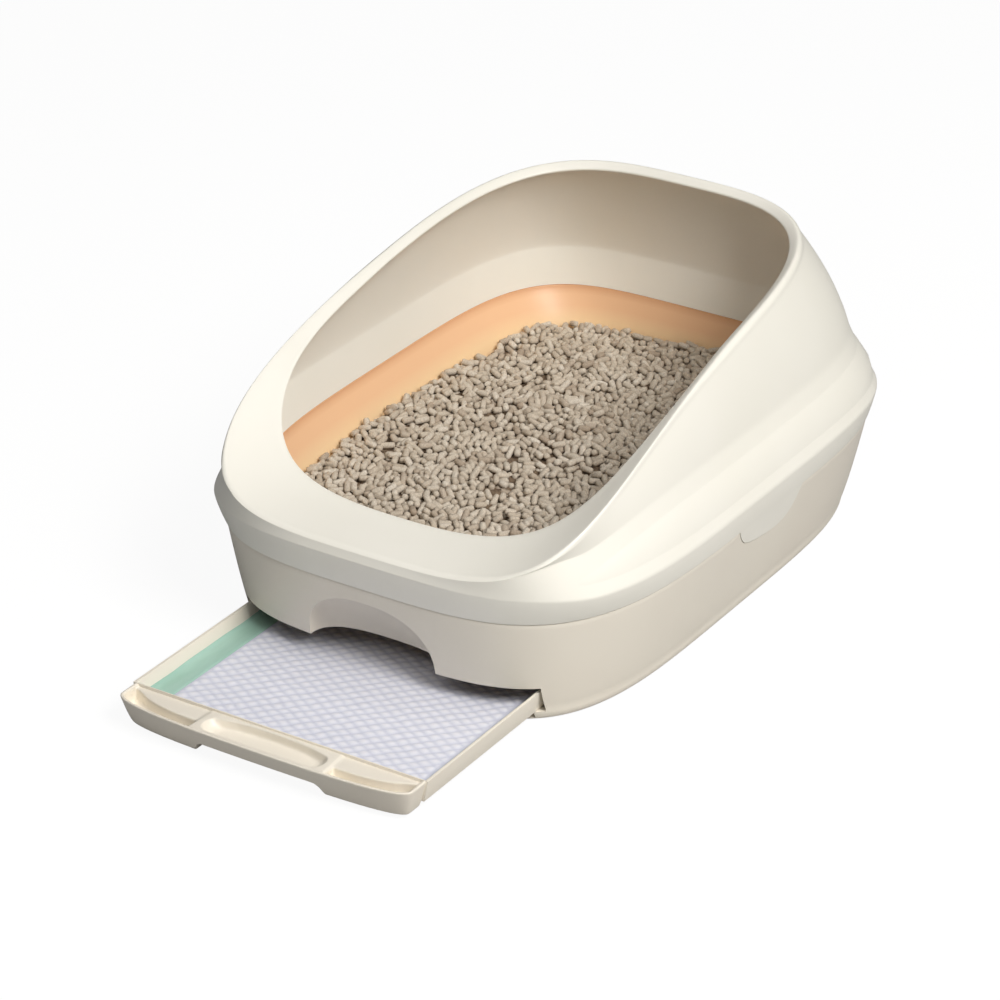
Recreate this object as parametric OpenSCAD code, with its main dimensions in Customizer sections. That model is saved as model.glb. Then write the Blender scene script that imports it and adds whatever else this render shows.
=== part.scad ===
// Half-cover system litter box: a tub with a pull-out pad drawer, a slotted litter pan and a high-backed
// rim cover.
// Frame: X to the right seen from the drawer side, Y towards the back, Z up from the floor. Millimetres.
// The drawer is drawn as in use: pulled out by drawer_travel from its closed place.

/* [Overall] */
// Half the width of the cover's skirt at the seam
half_w = 195; // [185:1:205]
// Length from the middle to the skirt's edge, front and back alike
half_l = 270; // [262:1:278]
// Height of the seam between the tub and the cover
seam_z = 96; // [92:1:100]
// Wall thickness of the mouldings
wall = 3; // [2.4:0.2:3.6]

/* [Rim cover] */
// Height of the rim at the front, where the cat steps in
rim_front_z = 129.3; // [128:0.5:136]
// Height of the rim at the back
rim_back_z = 266; // [230:1:290]
// Height of the valley between the shoulder and the high wall
valley_z = 166; // [160:1:172]
// Width of the level step-in shelf at the front
shelf_w = 51.5; // [40:0.5:60]
// Inward width of the rolled rim at the sides and the back
roll_w = 8.3; // [7:0.1:10]

/* [Litter pan] */
// Height of the pan's rim
pan_z = 127.6; // [124:0.2:127.6]
// Height of the top of the slotted floor
pan_floor_z = 60; // [50:1:66]
// Height of the litter at the middle
litter_z = 100; // [90:1:104]
// Width of one floor slot
slot_w = 4; // [3:0.5:5]
// Length of one floor slot
slot_l = 34; // [24:1:40]

/* [Drawer] */
// Half the drawer's width at its rim
drawer_hw = 136; // [130:0.5:136]
// Height of the drawer's rim
drawer_rim_z = 28; // [27:0.5:29]
// Front edge of the drawer's panel, pulled out
drawer_front_y = -421.7; // [-430:0.1:-415]
// How far the drawer is pulled out from closed
drawer_travel = 160; // [120:1:160]
// Length of the drawer from its cross ledge to its back wall
drawer_l = 428; // [380:1:440]

/* [Tub] */
// Height of the tub's inner floor
sill_z = 9.5; // [8.5:0.5:9.5]
// Half the width of the drawer's opening
bay_hw = 138.6; // [138:0.1:141]
// Height of the top edge of the drawer's opening
bay_top_z = 33.5; // [32:0.5:36]
// Height of the scooped finger recess above the opening
scoop_h = 46; // [38:1:48]
// Depth of the finger recess at its lower edge
scoop_d = 28; // [22:1:30]
// Half the width of the finger recess
scoop_hw = 60; // [50:1:62]

/* [Hidden] */
$fn = 48;
STEPS = 84; // points round each moulded ring
seat = 0.2; // gap left where one piece rests on another
base_colour = [0.93, 0.88, 0.78];
pan_colour = [0.97, 0.74, 0.5];
litter_colour = [0.78, 0.73, 0.65];
film_colour = [0.6, 0.8, 0.71];
pad_colour = [0.9, 0.9, 0.95];

// --- rings and lofts -----------------------------------------------------------------------------

// angle of step i, drawn closer together towards the corners
function turn(i, n = STEPS) = let(u = 360 * i / n) u + 20 * sin(4 * u) / 4;
function spow(v, e) = sign(v) * pow(abs(v), e);

// one point of a rounded outline: [half width, front y, back y, squareness front, squareness back, middle y]
function rim_point(t, r) =
    let(
        dx = spow(cos(t), 0.85),
        dy = spow(sin(t), 0.85),
        n = dy < 0 ? r[3] : r[4],
        k = pow(pow(abs(dx), n) + pow(abs(dy), n), -1 / n),
        ly = dy < 0 ? r[5] - r[1] : r[2] - r[5]
    )
    [r[0] * k * dx, r[5] + ly * k * dy];

// between two outlines, and an outline drawn in by d
function mix(a, b, w) = a * (1 - w) + b * w;
function inset(r, d) = [r[0] - d, r[1] + d, r[2] - d, r[3], r[4], r[5]];
function ring_xy(r, n = STEPS) = [for (i = [0:n - 1]) rim_point(turn(i, n), r)];
function ring_at(r, z, n = STEPS) = [for (p = ring_xy(r, n)) [p[0], p[1], z]];

// closed loop of rings: a thin moulded wall all the way round
module ring_wall(rings) {
    n = len(rings[0]);
    m = len(rings);
    points = [for (r = rings) for (p = r) p];
    faces = [
        for (j = [0:m - 1]) for (i = [0:n - 1])
            let(
                a = j * n + i,
                b = j * n + (i + 1) % n,
                c = ((j + 1) % m) * n + (i + 1) % n,
                d = ((j + 1) % m) * n + i
            )
            each [[a, c, b], [a, d, c]]
    ];
    polyhedron(points, faces, convexity = 8);
}

// stack of rings closed by flat ends
module ring_solid(rings) {
    n = len(rings[0]);
    m = len(rings);
    points = [for (r = rings) for (p = r) p];
    sides = [
        for (j = [0:m - 2]) for (i = [0:n - 1])
            let(a = j * n + i, b = j * n + (i + 1) % n, c = (j + 1) * n + (i + 1) % n, d = (j + 1) * n + i)
            each [[a, c, b], [a, d, c]]
    ];
    bottom = [for (i = [0:n - 1]) i];
    top = [for (i = [n - 1:-1:0]) (m - 1) * n + i];
    polyhedron(points, concat(sides, [bottom], [top]), convexity = 6);
}

// --- the tub -------------------------------------------------------------------------------------

foot_r = 12; // rounding of the tub's lower edge
tub_low = [half_w - 18.5, -(half_l - 14), half_l - 5, 4.1, 4.6, 0];
tub_top = [half_w - 1.8, -(half_l - 2.2), half_l - 2.5, 4.15, 5.3, 0];
tub_rim_z = pan_z - 2.5 - seat;
function tub_ring(z) = mix(tub_low, tub_top, (z - foot_r) / (seam_z - foot_r));
function tub_front_y(z) = tub_ring(z)[1];

module tub_wall() {
    ledge_z = seam_z - 0.6; // the cover's skirt ends just above this ledge
    lip = inset(tub_top, 2.4);
    foot = [for (a = [0:18:90]) [foot_r * (1 - sin(a)), foot_r * (1 - cos(a))]];
    outer = concat(
        [for (f = foot) ring_at(inset(tub_ring(foot_r), f[0] * 0.6), f[1])],
        [for (w = [0.33, 0.66, 1]) let(z = foot_r + w * (ledge_z - foot_r)) ring_at(tub_ring(z), z)]
    );
    rim = [
        ring_at(lip, ledge_z),
        ring_at(lip, tub_rim_z - 1),
        ring_at(inset(lip, 1), tub_rim_z),
        ring_at(inset(lip, wall), tub_rim_z),
    ];
    inner = [
        ring_at(inset(lip, wall), seam_z + 2),
        ring_at(inset(tub_ring(seam_z - 6), wall + 0.4), seam_z - 6),
        ring_at(inset(tub_ring(foot_r + 8), wall), foot_r + 8),
        ring_at(inset(tub_ring(foot_r), wall + 4), sill_z - 1),
        ring_at(inset(tub_ring(foot_r), 18), sill_z - 1),
        ring_at(inset(tub_ring(foot_r), 20), 0),
    ];
    ring_wall(concat(outer, rim, inner));
}

// flat floor with a deeper sill under the drawer's opening and a round foot in the middle
module tub_floor() {
    translate([0, 0, sill_z - wall])
        linear_extrude(wall)
            polygon(ring_xy(inset(tub_ring(foot_r), 9)));
    intersection() {
        translate([-bay_hw, tub_front_y(foot_r), 0.6])
            cube([2 * bay_hw, 56, sill_z - 1.6]);
        linear_extrude(sill_z)
            polygon(ring_xy(inset(tub_ring(foot_r), 9)));
    }
    cylinder(h = sill_z - 1, r = 14);
}

// ribs that guide the drawer's sides
runner_t = 2.4;
runner_y0 = -half_l + 55;
runner_l = 2 * half_l - 120;
runner_h = 14;
module tub_runners() {
    for (s = [-1, 1])
        translate([s * (bay_hw + runner_t / 2) - runner_t / 2, runner_y0, sill_z - 1])
            cube([runner_t, runner_l, runner_h + 1]);
}

// the finger recess: a half dome over the opening, grown by d for its backing
function dome(u, n) = pow(1 - pow(u, n), 1 / n);
function dome_ring(w, d, y, z) = concat(
    [[-w, -330, z], [w, -330, z]],
    [for (a = [0:10:180]) [w * spow(cos(a), 0.72), y + d * spow(sin(a), 0.72), z]]
);
module scoop(d, low) {
    levels = [0, 0.14, 0.28, 0.42, 0.55, 0.67, 0.77, 0.86, 0.93, 0.975, 0.997];
    w = scoop_hw + d;
    ring_solid(concat(
        [dome_ring(w, scoop_d + d, tub_front_y(bay_top_z), bay_top_z - low)],
        [
            for (u = levels)
                let(z = bay_top_z + u * (scoop_h + d) + 0.01)
                dome_ring(w * dome(u, 2.4), (scoop_d + d) * dome(u, 2), tub_front_y(z), z)
        ]
    ));
}

// keeps the recess's backing behind the tub's outer face
module behind_front_face() {
    lo = tub_front_y(bay_top_z) + 1.6;
    hi = tub_front_y(bay_top_z + 56) + 1.6;
    translate([-100, 0, 0])
        rotate([90, 0, 90])
            linear_extrude(200)
                polygon([[lo, bay_top_z - 1], [-200, bay_top_z - 1], [-200, bay_top_z + 56], [hi, bay_top_z + 56]]);
}

module bay_cut() {
    y0 = -half_l - 20;
    translate([-bay_hw, y0, sill_z])
        cube([2 * bay_hw, 82, bay_top_z - sill_z]);
    // room for the panel's deep ends when the drawer is shut
    recess_back = ledge_back_y + drawer_travel + 0.6;
    deep_hw = drawer_hw - 4.5;
    translate([-deep_hw, y0, 3.4])
        cube([2 * deep_hw, recess_back - y0, sill_z]);
}

// flats behind the cover's side tabs, so that the cover lifts straight off
module tab_flats() {
    gap = 1;
    for (m = [0, 1])
        mirror([m, 0, 0])
            translate([half_w - 4, tab_y[0] - gap, seam_z - tab_drop])
                cube([tab_drop, tab_y[1] - tab_y[0] + 2 * gap, tab_drop]);
}

module tub() {
    color(base_colour)
        difference() {
            union() {
                tub_wall();
                tub_floor();
                tub_runners();
                intersection() {
                    scoop(wall, 0);
                    behind_front_face();
                }
            }
            bay_cut();
            scoop(0, 8);
            tab_flats();
        }
}

// --- the rim cover -------------------------------------------------------------------------------

skirt_ring = [half_w, -half_l, half_l, 4, 5.26, 0];
flange_ring = [half_w + 7.6, -(half_l + 7.4), half_l + 3.6, 3.85, 4.65, 0];
valley_ring = [half_w - 12.6, -(half_l - 0.5), half_l - 13, 4.35, 4.45, 0];
crest_ring = [half_w - 30.4, -(half_l - 1.1), half_l - 51.6, 5.06, 3.24, -1.2];
edge_ring = [
    half_w - 30.4 - roll_w,
    -(half_l - 1.1) + shelf_w,
    half_l - 51.6 - roll_w,
    3.82,
    3.3,
    -3.4,
];
flange_z = seam_z + 17;
skirt_t = 2.6;

// the high wall narrows towards the back
function taper(p) = [p[0] * (1 - 0.068 * p[1] / 250 + 0.022 * pow(p[1] / 250, 2)), p[1]];

// share of the way from the rim's front to its back
function along(y) = let(c = crest_ring) min(1, max(0, (y - c[1]) / (c[2] - c[1])));

// rim height: a steep rise from the step-in, then a slow one to the back
function rim_z(y) =
    let(s = along(y))
    rim_front_z + (rim_back_z - rim_front_z) * (0.39 * (1 - pow(1 - s, 3.52)) + 0.61 * pow(s, 0.593));

// the valley runs level round the back and sides and dips under the rim at the front
function dip(y) = pow(1 - min(1, max(0, (y + half_l) / 170)), 2.2);
function valley_at(y) = valley_z + 2 - (valley_z + 2 - (rim_front_z - 5)) * dip(y);

function crest_points() = [
    for (i = [0:STEPS - 1])
        let(p = taper(rim_point(turn(i), crest_ring)))
        [p[0], p[1], rim_z(p[1])]
];
function valley_points(d = 0) = [
    for (i = [0:STEPS - 1])
        let(p = rim_point(turn(i), inset(valley_ring, d)))
        [p[0], p[1], valley_at(p[1])]
];

// free inner edge of the rolled rim, lower than the rim at the sides and level with it at the front
function edge_points() = [
    for (i = [0:STEPS - 1])
        let(
            t = turn(i),
            p = taper(rim_point(t, edge_ring)),
            c = taper(rim_point(t, crest_ring)),
            s = max(0, -sin(t)),
            drop = 4.8 - 9.3 * pow(s, 2) - 31.2 * pow(s, 2) * (1 - pow(s, 2))
        )
        [p[0], p[1], rim_z(c[1]) - drop]
];

// a ring between two rings of points: w across, v up
function between(a, b, w, v) = [
    for (i = [0:len(a) - 1])
        [
            a[i][0] + (b[i][0] - a[i][0]) * w,
            a[i][1] + (b[i][1] - a[i][1]) * w,
            a[i][2] + (b[i][2] - a[i][2]) * v
        ]
];

// a ring moved by the distance d from ring a towards ring b, and down by dz
function shifted(a, b, d, dz) = [
    for (i = [0:len(a) - 1])
        let(vx = b[i][0] - a[i][0], vy = b[i][1] - a[i][1], k = d / sqrt(vx * vx + vy * vy))
        [a[i][0] + k * vx, a[i][1] + k * vy, a[i][2] - dz]
];
function lift(a, dz) = [for (p = a) [p[0], p[1], p[2] + dz]];

// ring a, replaced by ring b at the front, where the valley dips to the pan's rim
function front_share(y) = min(1, max(0, (pan_z + 11.6 - valley_at(y)) / 8));
function levelled(a, b) =
    let(v = valley_points())
    [for (i = [0:len(a) - 1]) mix(a[i], b[i], front_share(v[i][1]))];

// the shoulder's round, as shares across and up from the flange to the valley
SHOULDER = [[0.02, 0.08], [0.08, 0.26], [0.2, 0.43], [0.37, 0.58], [0.57, 0.71], [0.77, 0.84], [0.92, 0.94]];

module cover_shell() {
    seam = ring_at(skirt_ring, seam_z);
    flange = ring_at(flange_ring, flange_z);
    valley = valley_points();
    crest = crest_points();
    edge = edge_points();
    // outside, from the seam up over the shoulder and the wall to the rim
    outer = concat(
        [seam, between(seam, flange, 0.55, 0.5), flange],
        [for (k = SHOULDER) between(flange, valley, k[0], k[1])],
        [valley],
        [for (w = [0.2, 0.4, 0.6, 0.8]) between(valley, lift(crest, -3.4), 0.55 * w + 0.45 * w * w, w)],
        [lift(crest, -3.4), shifted(crest, edge, 0.5, 1.2), shifted(crest, edge, 1.8, 0.2)]
    );
    // over the rolled rim and back under it
    roll = [
        lift(between(crest, edge, 0.4, 0.3), 0.2),
        between(crest, edge, 0.75, 0.7),
        edge,
        lift(edge, -2.4),
        lift(between(crest, edge, 0.6, 0.6), -3.2),
    ];
    // inside, down the wall to the pan's rim; at the front it runs level over the pan's flange
    skirt_low = ring_at(drip_ring, pan_z + seat);
    inner_valley = valley_points(wall);
    under_rim = lift(between(inner_valley, between(crest, edge, 0.42, 0.4), 0.93, 0.93), -1.6);
    wall_top = between(crest, edge, 0.34, 0);
    inner = concat(
        [under_rim],
        [
            for (w = [0.7, 0.4])
                let(down = between(inner_valley, wall_top, 0.55 * w + 0.45 * w * w, w * 0.97))
                levelled(down, between(under_rim, skirt_low, 1 - w, 1 - w))
        ],
        [levelled(lift(inner_valley, -1.5), between(under_rim, skirt_low, 0.85, 0.85))],
        [skirt_low, ring_at(inset(valley_ring, 3.4), pan_z + seat)]
    );
    // back up behind the drip skirt and down inside the shoulder
    shoulder = [
        lift(valley_points(wall - 2.4), -3.6),
        lift(between(inset_points(flange, skirt_t), valley, 0.57, 0.71), -3.2),
        lift(between(inset_points(flange, skirt_t), valley, 0.2, 0.43), -2.2),
        lift(between(inset_points(flange, skirt_t), valley, 0.04, 0.16), -1),
        inset_points(flange, skirt_t),
        inset_points(seam, skirt_t),
    ];
    ring_wall(concat(outer, roll, inner, shoulder));
}

// the drip skirt meets the pan's rim
drip_ring = [half_w - 18.5, -(half_l - 15.2), half_l - 19.5, 3.4, 4.6, 0];

// a ring of points drawn in by d along the outline's own diagonal
function inset_points(a, d) = [
    for (p = a)
        let(
            nx = spow(p[0] / half_w, 3),
            ny = spow(p[1] / half_l, 3),
            m = max(0.001, sqrt(nx * nx + ny * ny))
        )
        [p[0] - d * nx / m, p[1] - d * ny / m, p[2]]
];

// side tabs that clip over the tub
tab_t = 1.4;
tab_y = [-35, 66];
tab_drop = 22;
tab_lean = 7; // leans in towards the tub's side
module tab_plate() {
    translate([half_w + 0.4, 0, seam_z + 0.6])
        rotate([0, tab_lean, 0])
            translate([-tab_t, 0, 0])
                rotate([90, 0, 90])
                    linear_extrude(tab_t)
                        polygon([
                            [tab_y[0], 1.5],
                            [tab_y[0], -8],
                            [tab_y[0] + 2, -tab_drop + 8],
                            [tab_y[0] + 8, -tab_drop + 2],
                            [tab_y[0] + 18, -tab_drop],
                            [tab_y[1] - 42, -tab_drop],
                            [tab_y[1] - 24, -tab_drop + 2.5],
                            [tab_y[1] - 11, -tab_drop + 8],
                            [tab_y[1] - 5, -10],
                            [tab_y[1] - 4, -4],
                            [tab_y[1], 1.5],
                        ]);
}

module rim_cover() {
    color(base_colour) {
        cover_shell();
        for (m = [0, 1])
            mirror([m, 0, 0])
                tab_plate();
    }
}

// --- the litter pan ------------------------------------------------------------------------------

pan_mouth = [half_w - 19, -(half_l - 15), half_l - 20, 3.4, 4.6, 0];
pan_fill = [half_w - 37.5, -(half_l - 32), half_l - 29, 3.6, 4.7, 0];
pan_foot = [half_w - 46, -(half_l - 40), half_l - 37, 3.8, 4.7, 0];
pan_t = 2.4;

module pan_wall() {
    flange_out = inset(tub_top, 3);
    ring_wall([
        ring_at(pan_foot, pan_floor_z - pan_t),
        ring_at(inset(pan_foot, -pan_t), pan_floor_z - pan_t),
        ring_at(inset(pan_fill, -pan_t), litter_z - 2),
        ring_at(inset(pan_mouth, -pan_t), pan_z - pan_t),
        ring_at(flange_out, pan_z - pan_t),
        ring_at(flange_out, pan_z),
        ring_at(inset(pan_mouth, -1), pan_z),
        ring_at(pan_mouth, pan_z - 1),
        ring_at(pan_fill, litter_z - 2),
        ring_at(pan_foot, pan_floor_z + 4),
        ring_at(inset(pan_foot, 4), pan_floor_z - 0.2),
        ring_at(inset(pan_foot, 4), pan_floor_z - pan_t),
    ]);
}

module pan_floor() {
    pitch_x = slot_l + 8;
    pitch_y = 2.6 * slot_w;
    cols = floor((2 * pan_foot[0] - 60) / pitch_x);
    rows = floor((pan_foot[2] - pan_foot[1] - 90) / pitch_y);
    translate([0, 0, pan_floor_z - pan_t])
        linear_extrude(pan_t)
            difference() {
                polygon(ring_xy(inset(pan_foot, 2)));
                for (i = [0:cols - 1], j = [0:rows - 1])
                    translate([(i - (cols - 1) / 2) * pitch_x, (j - (rows - 1) / 2) * pitch_y])
                        square([slot_l, slot_w], center = true);
            }
}

module litter_pan() {
    color(pan_colour) {
        pan_wall();
        pan_floor();
    }
}

// --- the litter ----------------------------------------------------------------------------------

LITTER_CELLS = [20, 30]; // cells of the top, across and along
lump = 1.9;
// low mounds left by raking
function mound(x, y) =
    2.4 * sin(x * 2.1 + 20) * cos(y * 1.4) + 1.6 * sin(y * 3.3 + x * 1.1)
    - 3 * pow(abs(x) / half_w, 3) - 2.5 * pow(abs(y) / half_l, 4);
// heaped pellets, two cells from one heap to the next
function heap(i, j, p) =
    lump * (0.8 + 0.2 * sin(p[0] * 3.1 + p[1] * 1.7)) * (cos(180 * i) + cos(180 * j)) / 2;

// point i, j of a grid that fills an outline
function fill_point(i, j, r) =
    let(
        u = 2 * i / LITTER_CELLS[0] - 1,
        v = 2 * j / LITTER_CELLS[1] - 1,
        n = v < 0 ? r[3] : r[4],
        m = max(abs(u), abs(v)),
        k = m == 0 ? 0 : m / pow(pow(abs(u), n) + pow(abs(v), n), 1 / n)
    )
    [r[0] * k * u, (v < 0 ? -r[1] : r[2]) * k * v];

// the grid's border, turning left from its front left corner
function border() =
    let(nx = LITTER_CELLS[0], ny = LITTER_CELLS[1])
    concat(
        [for (i = [0:nx - 1]) [i, 0]],
        [for (j = [0:ny - 1]) [nx, j]],
        [for (i = [nx:-1:1]) [i, ny]],
        [for (j = [ny:-1:1]) [0, j]]
    );

module litter_bed() {
    nx = LITTER_CELLS[0];
    ny = LITTER_CELLS[1];
    rim = border();
    n = len(rim);
    top = inset(pan_fill, 2);
    low = [[inset(pan_foot, 4.6), pan_floor_z + seat], [inset(pan_foot, 0.5), pan_floor_z + 5]];
    rings = [for (k = low) [for (c = rim) let(p = fill_point(c[0], c[1], k[0])) [p[0], p[1], k[1]]]];
    surface = [
        for (j = [0:ny]) for (i = [0:nx])
            let(p = fill_point(i, j, top))
            [p[0], p[1], litter_z + mound(p[0], p[1]) + heap(i, j, p)]
    ];
    function at(i, j) = 2 * n + j * (nx + 1) + i;
    function above(i) = at(rim[i % n][0], rim[i % n][1]);
    faces = concat(
        [[for (i = [0:n - 1]) i]],
        [for (i = [0:n - 1]) each [[i, n + (i + 1) % n, (i + 1) % n], [i, n + i, n + (i + 1) % n]]],
        [for (i = [0:n - 1]) each [[n + i, above(i + 1), n + (i + 1) % n], [n + i, above(i), above(i + 1)]]],
        [
            for (j = [0:ny - 1]) for (i = [0:nx - 1])
                each [[at(i, j), at(i + 1, j + 1), at(i + 1, j)], [at(i, j), at(i, j + 1), at(i + 1, j + 1)]]
        ]
    );
    color(litter_colour)
        polyhedron(concat(rings[0], rings[1], surface), faces, convexity = 4);
}

// --- the drawer ----------------------------------------------------------------------------------

drawer_low_z = sill_z + seat; // underside of the drawer
floor_t = 2;
ledge_back_y = drawer_front_y + 34.7;
ledge_z = drawer_rim_z - 2.5;
panel_low_z = 4;
grip_hw = 63;
end_hw = drawer_hw - 1.4;

// half of the panel's bowed front line, from the middle to the end, at half width hw and front y0
function bow(x, hw, y0, y1) = y1 + (y0 - y1) * pow(max(0, 1 - pow(abs(x) / hw, 2.9)), 1 / 2.9);
BOW_STEPS = 28;
function bow_line(hw, y0, y1) = [
    for (i = [0:BOW_STEPS])
        let(x = -hw * cos(180 * i / BOW_STEPS))
        [x, bow(x, hw, y0, y1)]
];

// one level of the panel: v is 0 at the rim and 1 at the lower edge, d draws its face in
function panel_front(v, d) = bow_line(
    end_hw - 7 * v - d,
    drawer_front_y + 9.5 * v + d,
    drawer_front_y + 18.7 + 4 * v
);
function at_z(line, z) = [for (p = line) [p[0], p[1], z]];

// panel block: bowed face that leans back more and more towards its lower edge
module panel_block() {
    levels = [[1, 0], [0.8, 0.1], [0.52, 0.33], [0.2, 0.68], [0, 1]];
    ring_solid([
        for (k = levels)
            let(z = panel_low_z + k[1] * (drawer_rim_z - panel_low_z), w = end_hw - 7 * k[0])
            concat(at_z(panel_front(k[0], 0), z), [[w, ledge_back_y, z], [-w, ledge_back_y, z]])
    ]);
}

// space between the panel's rim and the cross ledge, its front wall leaning with the face
module trough() {
    t = 2.8;
    w = end_hw - t - 0.8;
    y = drawer_front_y;
    back = [
        [w, y + 31],
        [w - 7, y + 28.2],
        [w - 17, y + 23.2],
        [w - 31, y + 19.4],
        [w - 47, y + 17.1],
        [w - 68, y + 16.5],
    ];
    left = [for (i = [5:-1:0]) [-back[i][0], back[i][1]]];
    ring_solid([
        at_z(concat(panel_front(0.4, t), back, left), 15.5),
        at_z(concat(panel_front(0.2, t), back, left), drawer_rim_z - 8),
        at_z(concat(panel_front(0, t), back, left), drawer_rim_z + 1),
    ]);
}

// raised part round the finger pocket, with sloping ends
module grip_island() {
    h = drawer_rim_z - 1.2;
    y0 = drawer_front_y + 2;
    y1 = ledge_back_y - 0.4;
    ring_solid([
        [[-grip_hw, y0 + 4, 14], [grip_hw, y0 + 4, 14], [grip_hw, y1, 14], [-grip_hw, y1, 14]],
        [
            [-grip_hw, y0 + 4, ledge_z], [grip_hw, y0 + 4, ledge_z],
            [grip_hw, y1, ledge_z], [-grip_hw, y1, ledge_z]
        ],
        [[-grip_hw + 1, y0, h], [grip_hw - 1, y0, h], [grip_hw - 4, y1 - 1, h], [-grip_hw + 4, y1 - 1, h]],
    ]);
}

// finger pocket in the middle of the front: straight front, bowed back, ends that slope in
function pocket_ring(hw, y0, y1, y2, r, z) = concat(
    [for (a = [180:15:270]) [-hw + r + r * cos(a), y0 + r + r * sin(a), z]],
    [for (a = [270:15:360]) [hw - r + r * cos(a), y0 + r + r * sin(a), z]],
    [for (a = [0:15:60]) [hw - r + r * cos(a), y1 - r + r * sin(a), z]],
    [for (x = [0.55, 0.28, 0, -0.28, -0.55]) [x * hw, y1 + (y2 - y1) * (1 - x * x), z]],
    [for (a = [120:15:180]) [-hw + r + r * cos(a), y1 - r + r * sin(a), z]]
);
module grip_pocket() {
    y = drawer_front_y;
    ring_solid([
        pocket_ring(44, y + 11, y + 25.5, y + 29.5, 6.5, 19.6),
        pocket_ring(50, y + 8.5, y + 25.8, y + 30, 7.5, 21.5),
        pocket_ring(54.5, y + 6.8, y + 26.2, y + 30.4, 8.5, 25.5),
        pocket_ring(56.5, y + 5.8, y + 27, y + 31.2, 9, drawer_rim_z + 1),
    ]);
}

// the panel's lower edge is raised in the middle for the fingers
module lift_cut() {
    translate([0, ledge_back_y - 8, 0])
        rotate([90, 0, 0])
            linear_extrude(60)
                polygon([
                    [-61, 0],
                    [61, 0],
                    [58.5, 6],
                    [56, 11],
                    [52, 13.5],
                    [-52, 13.5],
                    [-56, 11],
                    [-58.5, 6],
                ]);
}

module drawer_tray() {
    back_y = ledge_back_y + drawer_l;
    rim = drawer_hw;
    low = drawer_hw - 3.6;
    difference() {
        tray_block(rim, low, ledge_back_y - 1, back_y, drawer_low_z, drawer_rim_z);
        tray_block(rim - 2.4, low - 1.2, ledge_back_y, back_y - 2.4, drawer_low_z + floor_t, drawer_rim_z + 0.01);
    }
}

module tray_block(hw1, hw0, y0, y1, z0, z1) {
    r = 5;
    function plan(hw) = concat(
        [[-hw, y0], [hw, y0]],
        [for (a = [0:15:90]) [hw - r + r * cos(a), y1 - r + r * sin(a)]],
        [for (a = [90:15:180]) [-hw + r + r * cos(a), y1 - r + r * sin(a)]]
    );
    ring_solid([[for (p = plan(hw0)) [p[0], p[1], z0]], [for (p = plan(hw1)) [p[0], p[1], z1]]]);
}

module drawer() {
    color(base_colour)
        difference() {
            union() {
                difference() {
                    union() {
                        difference() {
                            panel_block();
                            // the cross ledge stands a little below the rim
                            translate([-end_hw + 3.6, drawer_front_y + 15, ledge_z])
                                cube([2 * (end_hw - 3.6), 30, 10]);
                            trough();
                        }
                        grip_island();
                    }
                    lift_cut();
                }
                drawer_tray();
            }
            grip_pocket();
        }
}

// --- the absorbent pad ---------------------------------------------------------------------------

pad_y0 = ledge_back_y + 0.8;
pad_l = drawer_l - 6;
pad_hw = drawer_hw - 19.5;
pad_x = 4.5; // the pad lies a little to the right, so its border shows on the left
pad_floor = drawer_low_z + floor_t + 0.1;
core_t = 2;
sheet_t = 0.5;

// leak-proof film: flat under the core, with a border that stands up beside it against the side walls
module pad_backsheet() {
    edge = drawer_hw - 5;
    up = core_t + sheet_t;
    profile = [
        [-edge, pad_floor + up + 0.6],
        [-edge + 1, pad_floor + up + 0.9],
        [pad_x - pad_hw - 2, pad_floor + up + 0.5],
        [pad_x - pad_hw - 0.6, pad_floor + sheet_t],
        [pad_x + pad_hw + 0.6, pad_floor + sheet_t],
        [pad_x + pad_hw + 2, pad_floor + up + 0.5],
        [edge - 1, pad_floor + up + 0.9],
        [edge, pad_floor + up + 0.6],
        [edge - 0.6, pad_floor + up + 0.2],
        [pad_x + pad_hw + 2.6, pad_floor + up - 0.1],
        [pad_x + pad_hw + 1.2, pad_floor],
        [pad_x - pad_hw - 1.2, pad_floor],
        [pad_x - pad_hw - 2.6, pad_floor + up - 0.1],
        [-edge + 0.6, pad_floor + up + 0.2],
    ];
    color(film_colour)
        translate([0, pad_y0 + pad_l, 0])
            rotate([90, 0, 0])
                linear_extrude(pad_l)
                    polygon(profile);
}

module pad_core() {
    color(pad_colour)
        translate([pad_x - pad_hw, pad_y0 + 1, pad_floor + sheet_t + 0.05])
            cube([2 * pad_hw, pad_l - 2, core_t - 0.1]);
}

// quilted cover sheet, drawn flat
module pad_topsheet() {
    z0 = pad_floor + sheet_t + core_t;
    color(pad_colour)
        translate([pad_x - pad_hw, pad_y0 + 0.5, z0])
            cube([2 * pad_hw, pad_l - 1, 0.8]);
}

tub();
litter_pan();
litter_bed();
rim_cover();
drawer();
pad_backsheet();
pad_core();
pad_topsheet();
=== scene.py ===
"""Looks of a half-cover litter box with a pull-out pad drawer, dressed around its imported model.

Sizes are written in millimetres, as the mouldings are drawn, and turned to metres when a mesh is made.
X runs to the right seen from the drawer's side, Y towards the high back and Z up from the floor.
"""

import logging
import math
from dataclasses import dataclass, replace
from enum import Enum

import bmesh
import bpy
import numpy as np
from mathutils import Matrix, Vector
from mathutils.kdtree import KDTree


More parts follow.
